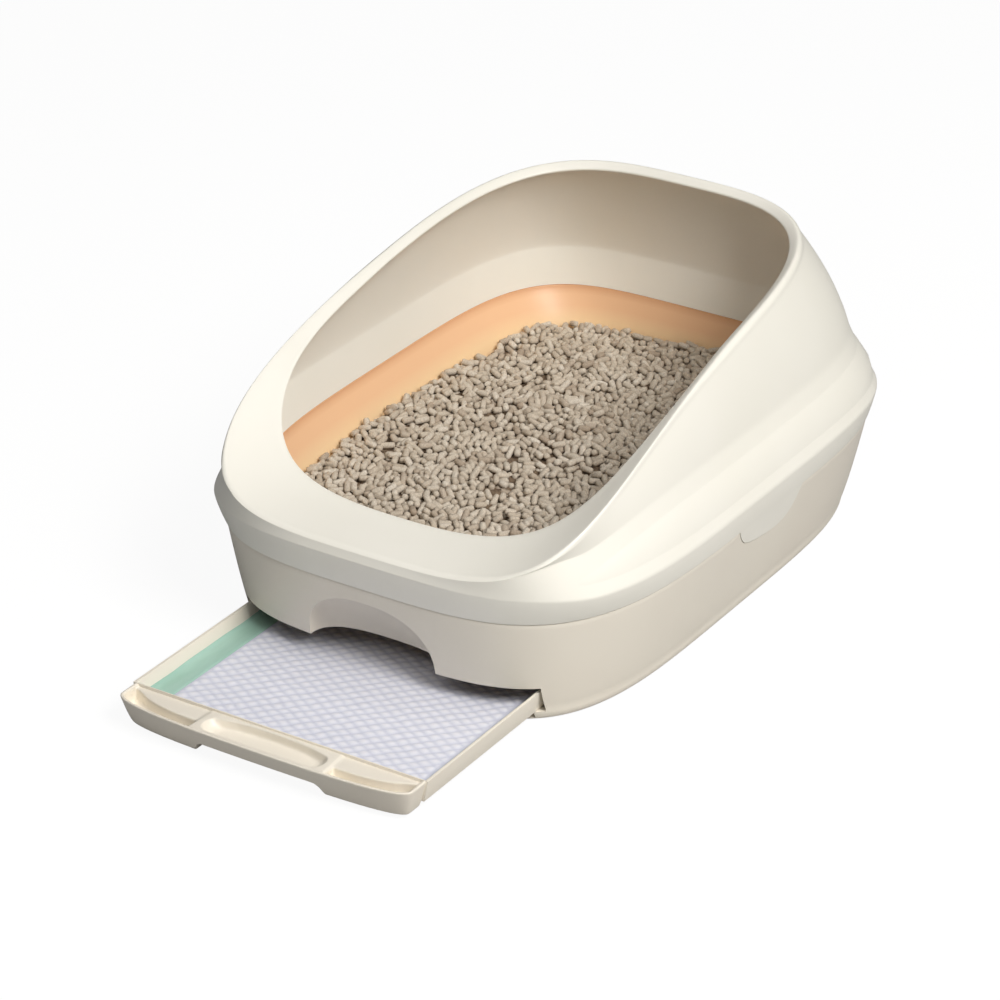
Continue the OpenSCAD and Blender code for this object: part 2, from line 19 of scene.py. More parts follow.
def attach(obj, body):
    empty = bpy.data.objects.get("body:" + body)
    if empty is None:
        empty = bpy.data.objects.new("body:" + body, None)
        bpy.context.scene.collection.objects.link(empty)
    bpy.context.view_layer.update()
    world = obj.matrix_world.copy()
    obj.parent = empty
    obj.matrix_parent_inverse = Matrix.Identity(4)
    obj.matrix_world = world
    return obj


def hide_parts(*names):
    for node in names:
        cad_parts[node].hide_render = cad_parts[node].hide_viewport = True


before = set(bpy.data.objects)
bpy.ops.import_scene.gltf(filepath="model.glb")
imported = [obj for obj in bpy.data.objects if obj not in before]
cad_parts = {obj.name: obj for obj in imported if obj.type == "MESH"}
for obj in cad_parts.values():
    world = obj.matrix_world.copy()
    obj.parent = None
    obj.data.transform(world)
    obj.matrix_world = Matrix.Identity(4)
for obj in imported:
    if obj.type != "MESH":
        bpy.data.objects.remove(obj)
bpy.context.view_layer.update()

LOG = logging.getLogger("litter_box")
MM = 0.001
RING_STEPS = 288
CORNER_PULL = math.radians(5)
CORNER_POWER = 0.85
MERGE_DISTANCE = 1e-6
PLASTIC_IOR = 1.49

Colour = tuple[float, float, float, float]
Place = tuple[float, float, float]


class Body(Enum):
    """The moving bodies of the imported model."""

    TUB = "tub"
    DRAWER = "drawer"
    PAN = "litter_pan"
    COVER = "rim_cover"


class Slot(Enum):
    """The record's material slots."""

    SHELL = "shell_plastic"
    PAN = "pan_plastic"
    PELLETS = "pellets"
    FILM = "pad_film"
    FLUFF = "pad_fluff"
    TOPSHEET = "pad_cover"


# --- outlines and lofts ---------------------------------------------------------------------------


def signed_power(values: np.ndarray, exponent: float) -> np.ndarray:
    """Raise the size of each value to a power and keep its sign."""
    return np.sign(values) * np.abs(values) ** exponent


def ring_angles(steps: int = RING_STEPS) -> np.ndarray:
    """Angles of a ring's points in radians, closer together towards the corners.

    Args:
        steps: how many points the ring has.

    Returns:
        The angles, one for each point.
    """
    turn = 2 * np.pi * np.arange(steps) / steps
    return turn + CORNER_PULL * np.sin(4 * turn)


def at_height(flat: np.ndarray, height: float) -> np.ndarray:
    """Lift a flat line to a height."""
    return np.column_stack([flat, np.full(len(flat), height)])


@dataclass(frozen=True)
class Outline:
    """A rounded outline seen from above, in millimetres.

    The squareness is the power of its oval: 2 is an ellipse, and higher values are squarer.
    """

    half_width: float
    front: float
    back: float
    square_front: float
    square_back: float
    middle: float = 0.0

    def drawn_in(self, inset: float) -> "Outline":
        """Return the outline made smaller by an inset on every side.

        Args:
            inset: how much is taken off, in millimetres; a minus adds.

        Returns:
            The smaller outline.
        """
        return replace(
            self, half_width=self.half_width - inset, front=self.front + inset, back=self.back - inset
        )

    def mixed(self, other: "Outline", share: float) -> "Outline":
        """Return the outline that lies a share of the way towards another one.

        Args:
            other: the outline at a share of 1.
            share: 0 for this outline, 1 for the other.

        Returns:
            The outline between them.
        """
        mine = (self.half_width, self.front, self.back, self.square_front, self.square_back, self.middle)
        its = (
            other.half_width, other.front, other.back, other.square_front, other.square_back, other.middle
        )
        return Outline(*(a * (1 - share) + b * share for a, b in zip(mine, its)))

    def points(self, steps: int = RING_STEPS) -> np.ndarray:
        """Return the outline's points.

        Args:
            steps: how many points it has.

        Returns:
            An array of x and y, in millimetres.
        """
        angle = ring_angles(steps)
        dx = signed_power(np.cos(angle), CORNER_POWER)
        dy = signed_power(np.sin(angle), CORNER_POWER)
        power = np.where(dy < 0, self.square_front, self.square_back)
        reach = (np.abs(dx) ** power + np.abs(dy) ** power) ** (-1 / power)
        length = np.where(dy < 0, self.middle - self.front, self.back - self.middle)
        return np.stack([self.half_width * reach * dx, self.middle + length * reach * dy], 1)

    def at(self, height: float, steps: int = RING_STEPS) -> np.ndarray:
        """Return the outline's points at one height."""
        return at_height(self.points(steps), height)

    def shares_inside(self, points: np.ndarray) -> np.ndarray:
        """Return how far each point is from the middle, as a share of the way to the outline.

        Args:
            points: places seen from above, in millimetres.

        Returns:
            The shares: below 1 inside the outline and above 1 outside it.
        """
        in_front = points[:, 1] < self.middle
        power = np.where(in_front, self.square_front, self.square_back)
        length = np.where(in_front, self.middle - self.front, self.back - self.middle)
        across = np.abs(points[:, 0]) / self.half_width
        along = np.abs(points[:, 1] - self.middle) / length
        return (across**power + along**power) ** (1 / power)


def between(first: np.ndarray, second: np.ndarray, across: float, up: float) -> np.ndarray:
    """Return a ring between two rings, with its own share sideways and upwards."""
    shares = np.array([across, across, up])
    return first + (second - first) * shares


def lifted(ring: np.ndarray, rise: float) -> np.ndarray:
    """Return a ring moved up."""
    return ring + np.array([0.0, 0.0, rise])


def shifted(first: np.ndarray, second: np.ndarray, distance: float, drop: float) -> np.ndarray:
    """Return a ring moved by a distance towards another, seen from above, and down by a drop.

    Args:
        first: the ring that is moved.
        second: the ring that it is moved towards.
        distance: how far, in millimetres; a minus moves it away.
        drop: how far it is lowered.

    Returns:
        The moved ring.
    """
    way = (second - first)[:, :2]
    step = way / np.linalg.norm(way, axis=1)[:, None] * distance
    return first + np.column_stack([step, np.full(len(step), -drop)])


def offset_inward(ring: np.ndarray, distance: float) -> np.ndarray:
    """Return a ring moved towards its inside, square to its own line seen from above.

    Args:
        ring: a ring that turns left seen from above.
        distance: how far, in millimetres.

    Returns:
        The moved ring, at the same heights.
    """
    ahead = np.roll(ring, -1, 0) - np.roll(ring, 1, 0)
    normal = np.column_stack([-ahead[:, 1], ahead[:, 0]])
    normal /= np.linalg.norm(normal, axis=1)[:, None]
    moved = ring.copy()
    moved[:, :2] += normal * distance
    return moved


def rounded_path(rings: list[np.ndarray], passes: int = 2) -> list[np.ndarray]:
    """Round the corners of a path of rings, with both ends kept.

    Args:
        rings: the rings that the surface passes near.
        passes: how often each corner is cut.

    Returns:
        A longer list of rings on a smooth path.
    """
    for _ in range(passes):
        cut = [rings[0]]
        for first, second in zip(rings, rings[1:]):
            cut.append(first * 0.75 + second * 0.25)
            cut.append(first * 0.25 + second * 0.75)
        cut.append(rings[-1])
        rings = cut
    return rings


def build_mesh(name: str, points: np.ndarray, faces: list[tuple[int, ...]]) -> bpy.types.Object:
    """Make an object from points in millimetres.

    Args:
        name: the object's name.
        points: its vertices, in millimetres.
        faces: vertex numbers of each face.

    Returns:
        The new object, with its place in its mesh.
    """
    mesh = bpy.data.meshes.new(name)
    mesh.from_pydata((np.asarray(points, float) * MM).tolist(), [], faces)
    mesh.validate()
    thing = bpy.data.objects.new(name, mesh)
    bpy.context.scene.collection.objects.link(thing)
    return thing


def loft(name: str, rings: list[np.ndarray], ring_closed: bool) -> bpy.types.Object:
    """Skin a list of rings.

    Args:
        name: the object's name.
        rings: rings with the same number of points, turning left seen from above.
        ring_closed: true where the last ring joins the first, false where flat faces close both ends.

    Returns:
        The skinned object.
    """
    count = len(rings[0])
    faces: list[tuple[int, ...]] = []
    pairs = len(rings) if ring_closed else len(rings) - 1
    for level in range(pairs):
        low, high = level * count, ((level + 1) % len(rings)) * count
        for i in range(count):
            j = (i + 1) % count
            faces.append((low + i, low + j, high + j, high + i))
    if not ring_closed:
        top = (len(rings) - 1) * count
        faces.append(tuple(range(count - 1, -1, -1)))
        faces.append(tuple(range(top, top + count)))
    return build_mesh(name, np.concatenate(rings), faces)


def prism(name: str, outline: list[tuple[float, float]], low: float, high: float) -> bpy.types.Object:
    """Make a straight block from an outline in the XY plane.

    Args:
        name: the object's name.
        outline: its points, turning left seen from above.
        low: the height of its underside.
        high: the height of its top.

    Returns:
        The block.
    """
    flat = np.array(outline, float)
    rings = [at_height(flat, z) for z in (low, high)]
    return loft(name, rings, ring_closed=False)


def block(name: str, low: Place, high: Place) -> bpy.types.Object:
    """Make a rectangular tool block for a cut."""
    corners = [(low[0], low[1]), (high[0], low[1]), (high[0], high[1]), (low[0], high[1])]
    return prism(name, corners, low[2], high[2])


def combine(target: bpy.types.Object, tool: bpy.types.Object, operation: str) -> None:
    """Join a tool to a target or cut it away, and remove the tool.

    Args:
        target: the object that is changed.
        tool: the object that is used up.
        operation: UNION, DIFFERENCE or INTERSECT.
    """
    for thing in (target, tool):
        into_triangles(thing)
    change = target.modifiers.new("combine", "BOOLEAN")
    change.operation = operation
    change.solver = "EXACT"
    change.object = tool
    bake_modifiers(target)
    bpy.data.objects.remove(tool, do_unlink=True)


def into_triangles(thing: bpy.types.Object) -> None:
    """Split the faces into triangles, so that a bent quad can't open a cut.

    Args:
        thing: the object, changed in place.
    """
    mesh = bmesh.new()
    mesh.from_mesh(thing.data)
    bmesh.ops.triangulate(mesh, faces=mesh.faces)
    mesh.to_mesh(thing.data)
    mesh.free()


def bake_modifiers(thing: bpy.types.Object) -> None:
    """Turn an object's modifiers into plain mesh and take them off.

    Args:
        thing: the object, changed in place.
    """
    graph = bpy.context.evaluated_depsgraph_get()
    graph.update()
    mesh = bpy.data.meshes.new_from_object(thing.evaluated_get(graph))
    thing.modifiers.clear()
    thing.data = mesh


def smooth_by_angle(thing: bpy.types.Object, degrees: float) -> None:
    """Shade a mesh smooth, with edges sharper than an angle kept crisp."""
    thing.data.shade_smooth()
    thing.data.set_sharp_from_angle(angle=math.radians(degrees))


def outward(thing: bpy.types.Object) -> None:
    """Merge doubles and turn the faces outwards.

    Args:
        thing: the object, changed in place.
    """
    mesh = bmesh.new()
    mesh.from_mesh(thing.data)
    bmesh.ops.remove_doubles(mesh, verts=mesh.verts, dist=MERGE_DISTANCE)
    bmesh.ops.recalc_face_normals(mesh, faces=mesh.faces)
    mesh.to_mesh(thing.data)
    mesh.free()


# --- finishes -------------------------------------------------------------------------------------


def srgb(red: int, green: int, blue: int) -> Colour:
    """Turn a screen colour into the linear colour that a shader takes.

    Args:
        red: its red, 0 to 255.
        green: its green.
        blue: its blue.

    Returns:
        The linear colour, fully opaque.
    """
    linear = []
    for value in (red, green, blue):
        share = value / 255
        linear.append(share / 12.92 if share <= 0.04045 else ((share + 0.055) / 1.055) ** 2.4)
    return (*linear, 1.0)


class NodeBench:
    """A material's node tree with short ways to add and join nodes."""

    def __init__(self, name: str) -> None:
        """Start an empty material with a Principled shader.

        Args:
            name: the material's name.
        """
        self.material = bpy.data.materials.new(name)
        self.material.use_nodes = True
        self.tree = self.material.node_tree
        self.tree.nodes.clear()
        self.output = self.tree.nodes.new("ShaderNodeOutputMaterial")
        self.shader = self.tree.nodes.new("ShaderNodeBsdfPrincipled")
        self.join(self.shader, "BSDF", self.output, "Surface")

    def add(self, kind: str, **settings: object) -> bpy.types.Node:
        """Add a node and set its properties or its input values by name.

        Args:
            kind: the node's type.
            settings: the values; an underscore stands for a space in an input's name.

        Returns:
            The new node.
        """
        node = self.tree.nodes.new(kind)
        for key, value in settings.items():
            if hasattr(node, key):
                setattr(node, key, value)
            else:
                node.inputs[key.replace("_", " ")].default_value = value
        return node

    def join(
        self, source: bpy.types.Node, output: str | int, target: bpy.types.Node, socket: str | int
    ) -> None:
        """Join an output to an input."""
        self.tree.links.new(source.outputs[output], target.inputs[socket])

    def shade(self, **values: float | Colour) -> None:
        """Set input values of the shader by name."""
        for key, value in values.items():
            self.shader.inputs[key.replace("_", " ")].default_value = value

    def place(self, scale: Place = (1, 1, 1)) -> bpy.types.Node:
        """Add object coordinates, scaled.

        Args:
            scale: the scale along each axis.

        Returns:
            The node that gives the coordinates.
        """
        coordinates = self.add("ShaderNodeTexCoord")
        mapping = self.add("ShaderNodeMapping", Scale=scale)
        self.join(coordinates, "Object", mapping, "Vector")
        return mapping

    def noise(
        self, where: bpy.types.Node, scale: float, detail: float = 3.0, rough: float = 0.5
    ) -> bpy.types.Node:
        """Add a noise texture.

        Args:
            where: the node that gives its coordinates.
            scale: how fine it is.
            detail: how many finer layers it has.
            rough: how strong those layers are.

        Returns:
            The texture node.
        """
        texture = self.add("ShaderNodeTexNoise", Scale=scale, Detail=detail, Roughness=rough)
        self.join(where, 0, texture, "Vector")
        return texture

    def ramp(
        self, source: bpy.types.Node, output: str | int, stops: list[tuple[float, tuple[float, ...]]]
    ) -> bpy.types.Node:
        """Add a colour ramp.

        Args:
            source: the node that drives it.
            output: that node's output.
            stops: positions from 0 to 1 and their colours.

        Returns:
            The ramp node.
        """
        node = self.add("ShaderNodeValToRGB")
        while len(node.color_ramp.elements) < len(stops):
            node.color_ramp.elements.new(0.5)
        for element, (position, colour) in zip(node.color_ramp.elements, stops):
            element.position = position
            element.color = colour
        self.join(source, output, node, "Fac")
        return node

    def span(self, source: bpy.types.Node, output: str | int, low: float, high: float) -> bpy.types.Node:
        """Add a map range from 0..1 to another span.

        Args:
            source: the node that drives it.
            output: that node's output.
            low: what 0 becomes.
            high: what 1 becomes.

        Returns:
            The map range node.
        """
        node = self.add("ShaderNodeMapRange", To_Min=low, To_Max=high)
        self.join(source, output, node, "Value")
        return node

    def bump(self, source: bpy.types.Node, output: str | int, strength: float, depth: float) -> None:
        """Drive the shader's normal from a height.

        Args:
            source: the node that gives the height.
            output: that node's output.
            strength: the share of the relief that is kept.
            depth: the relief's depth, in metres.
        """
        node = self.add("ShaderNodeBump", Strength=strength, Distance=depth)
        self.join(source, output, node, "Height")
        self.join(node, "Normal", self.shader, "Normal")


@dataclass(frozen=True)
class MouldedPlastic:
    """A satin injection-moulded plastic with faint clouding and a fine skin."""

    name: str
    light: Colour
    deep: Colour
    roughness: float = 0.36
    haze: tuple[float, float] = (-0.03, 0.04)
    haze_scale: float = 60.0
    cloud_scale: float = 9.0
    skin_scale: float = 1400.0
    skin_strength: float = 0.25
    skin_depth: float = 0.00002

    def make(self) -> bpy.types.Material:
        """Build the material.

        Returns:
            The material.
        """
        bench = NodeBench(self.name)
        where = bench.place()
        bench.join(self.tint(bench, where), "Color", bench.shader, "Base Color")
        haze = bench.noise(where, self.haze_scale, 3.0)
        dull = bench.span(haze, "Fac", self.roughness + self.haze[0], self.roughness + self.haze[1])
        bench.join(dull, "Result", bench.shader, "Roughness")
        skin = bench.noise(where, self.skin_scale, 2.0)
        bench.bump(skin, "Fac", self.skin_strength, self.skin_depth)
        bench.shade(IOR=PLASTIC_IOR)
        return bench.material

    def tint(self, bench: NodeBench, where: bpy.types.Node) -> bpy.types.Node:
        """Add the clouded colour and return the node that gives it."""
        cloud = bench.noise(where, self.cloud_scale, 2.0)
        return bench.ramp(cloud, "Fac", [(0.35, self.deep), (0.65, self.light)])


@dataclass(frozen=True)
class LitPanPlastic(MouldedPlastic):
    """Moulded plastic with painted light by height: a darker, redder painted shade under the cover's edge and
    a paler painted glow near the litter.
    """

    # painted shade: the pan's colour in the shadow under the cover's edge
    under: Colour = srgb(226, 172, 130)
    heights: tuple[float, float] = (0.098, 0.1275)

    def tint(self, bench: NodeBench, where: bpy.types.Node) -> bpy.types.Node:
        """Add the colour by height, with a painted glow near the litter and painted shade under the cover.

        Args:
            bench: the material's bench.
            where: the node that gives object coordinates.

        Returns:
            The node that gives the colour.
        """
        low, high = self.heights
        split = bench.add("ShaderNodeSeparateXYZ")
        level = bench.add("ShaderNodeMapRange", From_Min=low, From_Max=high)
        bench.join(where, 0, split, 0)
        bench.join(split, "Z", level, "Value")
        # pale at the bottom for a painted glow near the litter, the deep orange in the middle, and painted
        # shade under the cover at the top
        stops = [(0.05, self.light), (0.45, self.deep), (0.75, self.deep), (0.98, self.under)]
        return bench.ramp(level, "Result", stops)


@dataclass(frozen=True)
class PressedPellet:
    """Dull pressed litter: each pellet has its own tone, and all are speckled and a little rough."""

    name: str = "pressed_pellet"
    dark: Colour = srgb(178, 162, 144)
    middle: Colour = srgb(206, 194, 177)
    pale: Colour = srgb(224, 215, 201)
    fleck: Colour = srgb(196, 190, 182)
    fleck_share: float = 0.6

    def make(self) -> bpy.types.Material:
        """Build the material.

        Returns:
            The material.
        """
        bench = NodeBench(self.name)
        tone = bench.add("ShaderNodeAttribute", attribute_name="tone")
        shade = bench.ramp(tone, "Fac", [(0.0, self.dark), (0.45, self.middle), (1.0, self.pale)])
        speck = bench.noise(bench.place(), 900.0, 3.0, 0.6)
        fleck = bench.ramp(speck, "Fac", [(0.3, self.fleck), (0.62, (1, 1, 1, 1))])
        mixed = bench.add("ShaderNodeMix", data_type="RGBA", blend_type="MULTIPLY")
        mixed.inputs[0].default_value = self.fleck_share
        bench.join(shade, "Color", mixed, 6)
        bench.join(fleck, "Color", mixed, 7)
        bench.join(mixed, 2, bench.shader, "Base Color")
        bench.shade(Roughness=0.82, Specular_IOR_Level=0.3)
        bench.bump(speck, "Fac", 0.5, 0.00035)
        return bench.material


@dataclass(frozen=True)
class MottledStuff:
    """A stuff whose one noise gives both its tone and its relief.

    The grain is the noise's scale, detail and roughness, the stops are the places of the two tones
    on it, and the relief is the bump's strength and its depth in metres.
    """

    name: str
    dark: Colour
    pale: Colour
    stops: tuple[float, float]
    grain: tuple[float, float, float]
    relief: tuple[float, float]
    roughness: float
    sheen: float = 0.0
    stretch: Place = (1, 1, 1)

    def make(self) -> bpy.types.Material:
        """Build the material.

        Returns:
            The material.
        """
        bench = NodeBench(self.name)
        grain = bench.noise(bench.place(self.stretch), *self.grain)
        tone = bench.ramp(grain, "Fac", list(zip(self.stops, (self.dark, self.pale))))
        bench.join(tone, "Color", bench.shader, "Base Color")
        bench.shade(Roughness=self.roughness, Sheen_Weight=self.sheen)
        bench.bump(grain, "Fac", *self.relief)
        return bench.material


@dataclass(frozen=True)
class NonWoven:
    """A white embossed non-woven sheet with painted shade, darker and cooler, in its pressed hollows."""

    name: str = "non_woven"
    # painted shade: darkest in the hollows, less on the slopes, none on the tops
    hollow: Colour = srgb(206, 208, 226)
    slope: Colour = srgb(226, 228, 240)
    top: Colour = srgb(240, 240, 248)

    def make(self) -> bpy.types.Material:
        """Build the material.

        Returns:
            The material.
        """
        bench = NodeBench(self.name)
        height = bench.add("ShaderNodeAttribute", attribute_name="puff")
        # darker and cooler towards the hollows by the puff's height: painted shade
        tone = bench.ramp(height, "Fac", [(0.0, self.hollow), (0.55, self.slope), (1.0, self.top)])
        bench.join(tone, "Color", bench.shader, "Base Color")
        bench.shade(Roughness=0.8, Sheen_Weight=0.25, Sheen_Roughness=0.5)
        fibre = bench.noise(bench.place((1.0, 2.2, 1.0)), 1700.0, 3.0, 0.6)
        bench.bump(fibre, "Fac", 0.35, 0.0002)
        return bench.material


def maths(tree: bpy.types.NodeTree, operation: str, *terms: object) -> bpy.types.NodeSocket:
    """Add a math node to a tree.

    Args:
        tree: the tree.
        operation: the math node's operation.
        terms: numbers or output sockets.

    Returns:
        The node's result.
    """
    node = tree.nodes.new("ShaderNodeMath")
    node.operation = operation
    for socket, term in zip(node.inputs, terms):
        if isinstance(term, (int, float)):
            socket.default_value = term
        else:
            tree.links.new(term, socket)
    return node.outputs[0]


def named(tree: bpy.types.NodeTree, name: str, kind: str) -> bpy.types.Node:
    """Add a node that reads a named attribute of the points.

    Args:
        tree: the tree.
        name: the attribute's name.
        kind: its data type.

    Returns:
        The node.
    """
    node = tree.nodes.new("GeometryNodeInputNamedAttribute")
    node.data_type = kind
    node.inputs["Name"].default_value = name
    return node


def geometry_tree(
    name: str, values: dict[str, float]
) -> tuple[bpy.types.NodeTree, bpy.types.Node, bpy.types.Node]:
    """Start a geometry node tree that takes a shape and some numbers.

    Args:
        name: the tree's name.
        values: each number's name and value; a whole number gets a whole-number input.

    Returns:
        The tree, its input node and its output node.
    """
    tree = bpy.data.node_groups.new(name, "GeometryNodeTree")
    face = tree.interface
    face.new_socket("Geometry", in_out="INPUT", socket_type="NodeSocketGeometry")
    for label, value in values.items():
        kind = "NodeSocketInt" if isinstance(value, int) else "NodeSocketFloat"
        face.new_socket(label, in_out="INPUT", socket_type=kind).default_value = value
    face.new_socket("Geometry", in_out="OUTPUT", socket_type="NodeSocketGeometry")
    return tree, tree.nodes.new("NodeGroupInput"), tree.nodes.new("NodeGroupOutput")


CREAM = MouldedPlastic("cream_plastic", srgb(246, 239, 225), srgb(244, 236, 222), 0.36)
PALE_CREAM = MouldedPlastic("pale_cream_plastic", srgb(253, 250, 240), srgb(251, 248, 237), 0.36)
# its light tone is a painted glow near the litter; its deep tone is the pan's own orange
ORANGE = LitPanPlastic("orange_plastic", srgb(247, 213, 168), srgb(242, 196, 154), 0.38)
# dark bed between the pellets: painted shade in the gaps, where the pellets shade each other
LITTER_GAP_SHADE = MottledStuff(
    "litter_gap_shade", srgb(92, 74, 58), srgb(140, 120, 98),
    stops=(0.35, 0.7), grain=(260.0, 4.0, 0.65), relief=(0.8, 0.002), roughness=0.95,
)
FLUFF = MottledStuff(
    "fluff_core", srgb(222, 220, 214), srgb(240, 238, 233),
    stops=(0.3, 0.7), grain=(700.0, 4.0, 0.6), relief=(0.6, 0.0008), roughness=0.95, sheen=0.3,
)
GREEN_FILM = MottledStuff(
    "green_film", srgb(152, 192, 176), srgb(176, 210, 198),
    stops=(0.3, 0.7), grain=(55.0, 4.0, 0.55), relief=(0.35, 0.0012), roughness=0.34,
    stretch=(1.0, 0.22, 1.0),
)


def dress(
    thing: bpy.types.Object, material: bpy.types.Material, body: Body, slot: Slot, *nodes: str
) -> None:
    """Give a piece its material and body, and hide the CAD nodes that it stands for.

    Args:
        thing: the piece.
        material: its material.
        body: the body that it rides on.
        slot: the record's slot for its material; not used.
        nodes: the CAD nodes that it replaces, none for a piece beside them.
    """
    thing.data.materials.clear()
    thing.data.materials.append(material)
    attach(thing, body.value)
    if nodes:
        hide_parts(*nodes)
    LOG.info("%s: %d vertices, rides on %s", thing.name, len(thing.data.vertices), body.value)


# --- the shared sizes of the box ------------------------------------------------------------------


@dataclass(frozen=True)
class BoxSizes:
    """Sizes that more than one moulding uses, in millimetres."""

    half_width: float = 195.0
    half_length: float = 270.0
    seam: float = 96.0
    wall: float = 3.0
    foot_radius: float = 12.0
    sill: float = 9.5
    bay_half_width: float = 138.6
    bay_top: float = 33.5
    pan_rim: float = 127.6
    pan_floor: float = 60.0
    litter: float = 100.0
    drawer_half_width: float = 136.0
    drawer_rim: float = 28.0
    drawer_front: float = -421.7
    drawer_length: float = 428.0
    seat: float = 0.2
    flush: float = 0.5

    def around(
        self, side: float, front: float, back: float,
        square_front: float, square_back: float, middle: float = 0.0,
    ) -> Outline:
        """Return an outline that stands out from the box's half width and half length.

        Args:
            side: how far it stands out at the sides, minus inwards.
            front: the same at the front.
            back: the same at the back.
            square_front: the squareness of its front half.
            square_back: the squareness of its back half.
            middle: where the halves meet.

        Returns:
            The outline.
        """
        w, h = self.half_width, self.half_length
        return Outline(w + side, -(h + front), h + back, square_front, square_back, middle)

    def tub_low(self) -> Outline:
        """Return the tub's outline just above its rounded foot."""
        return self.around(-18.5, -14, -5, 4.1, 4.6)

    def tub_top(self) -> Outline:
        """Return the tub's outline at the seam."""
        return self.around(-1.8, -2.2, -2.5, 4.15, 5.3)

    def tub_at(self, height: float) -> Outline:
        """Return the tub's outer outline at a height."""
        share = (height - self.foot_radius) / (self.seam - self.foot_radius)
        return self.tub_low().mixed(self.tub_top(), share)

    def band_foot(self) -> Outline:
        """Return the outline of the cover's lower edge, which the tub meets flush."""
        return self.around(3.6, 3.6, 1.8, 3.65, 4.5)

    def tub_skin(self, height: float) -> Outline:
        """Return the tub's outer face at a height, slightly barrelled up to the cover's edge."""
        share = max(0.0, (height - self.foot_radius) / (self.seam - self.foot_radius))
        return self.tub_low().mixed(self.band_foot().drawn_in(self.flush), share**0.85)

    def pan_mouth(self) -> Outline:
        """Return the pan's inner outline at its rim."""
        return self.around(-19, -15, -20, 3.4, 4.6)

    def pan_fill(self) -> Outline:
        """Return the pan's inner outline where the litter ends."""
        return self.around(-37.5, -32, -29, 3.6, 4.7)

    def pan_foot(self) -> Outline:
        """Return the pan's inner outline at its floor."""
        return self.around(-46, -40, -37, 3.8, 4.7)

    def ledge_back(self) -> float:
        """Return where the drawer's cross ledge ends, which is where its tray begins."""
        return self.drawer_front + 34.7


SIZES = BoxSizes()


def tab_outline(grow: float = 0.0) -> np.ndarray:
    """Give a clip tab's outline: along the side, and up from the seam.

    Args:
        grow: how far the outline is moved outwards, for the pocket around it.

    Returns:
        An array of y and height, in millimetres.
    """
    line = [
        (-37, 2.1), (-34, -3), (-29, -10), (-22, -16.5), (-12, -20.5), (0, -23.2), (20, -26),
        (36, -26.4), (47, -24), (55, -19.5), (60, -13.5), (63, -7.5), (66, -1), (68, 2.1),
    ]
    outline = np.array(line, float)
    for _ in range(3):
        ahead = np.roll(outline, -1, 0)
        cut = np.stack([outline * 0.8 + ahead * 0.2, outline * 0.2 + ahead * 0.8], 1).reshape(-1, 2)
        outline = np.concatenate([outline[:1], cut[1:-2], outline[-1:]])
    middle = np.array([15.0, 0.0])
    away = outline - middle
    return outline + away / np.linalg.norm(away, axis=1)[:, None] * grow


# --- the tub --------------------------------------------------------------------------------------


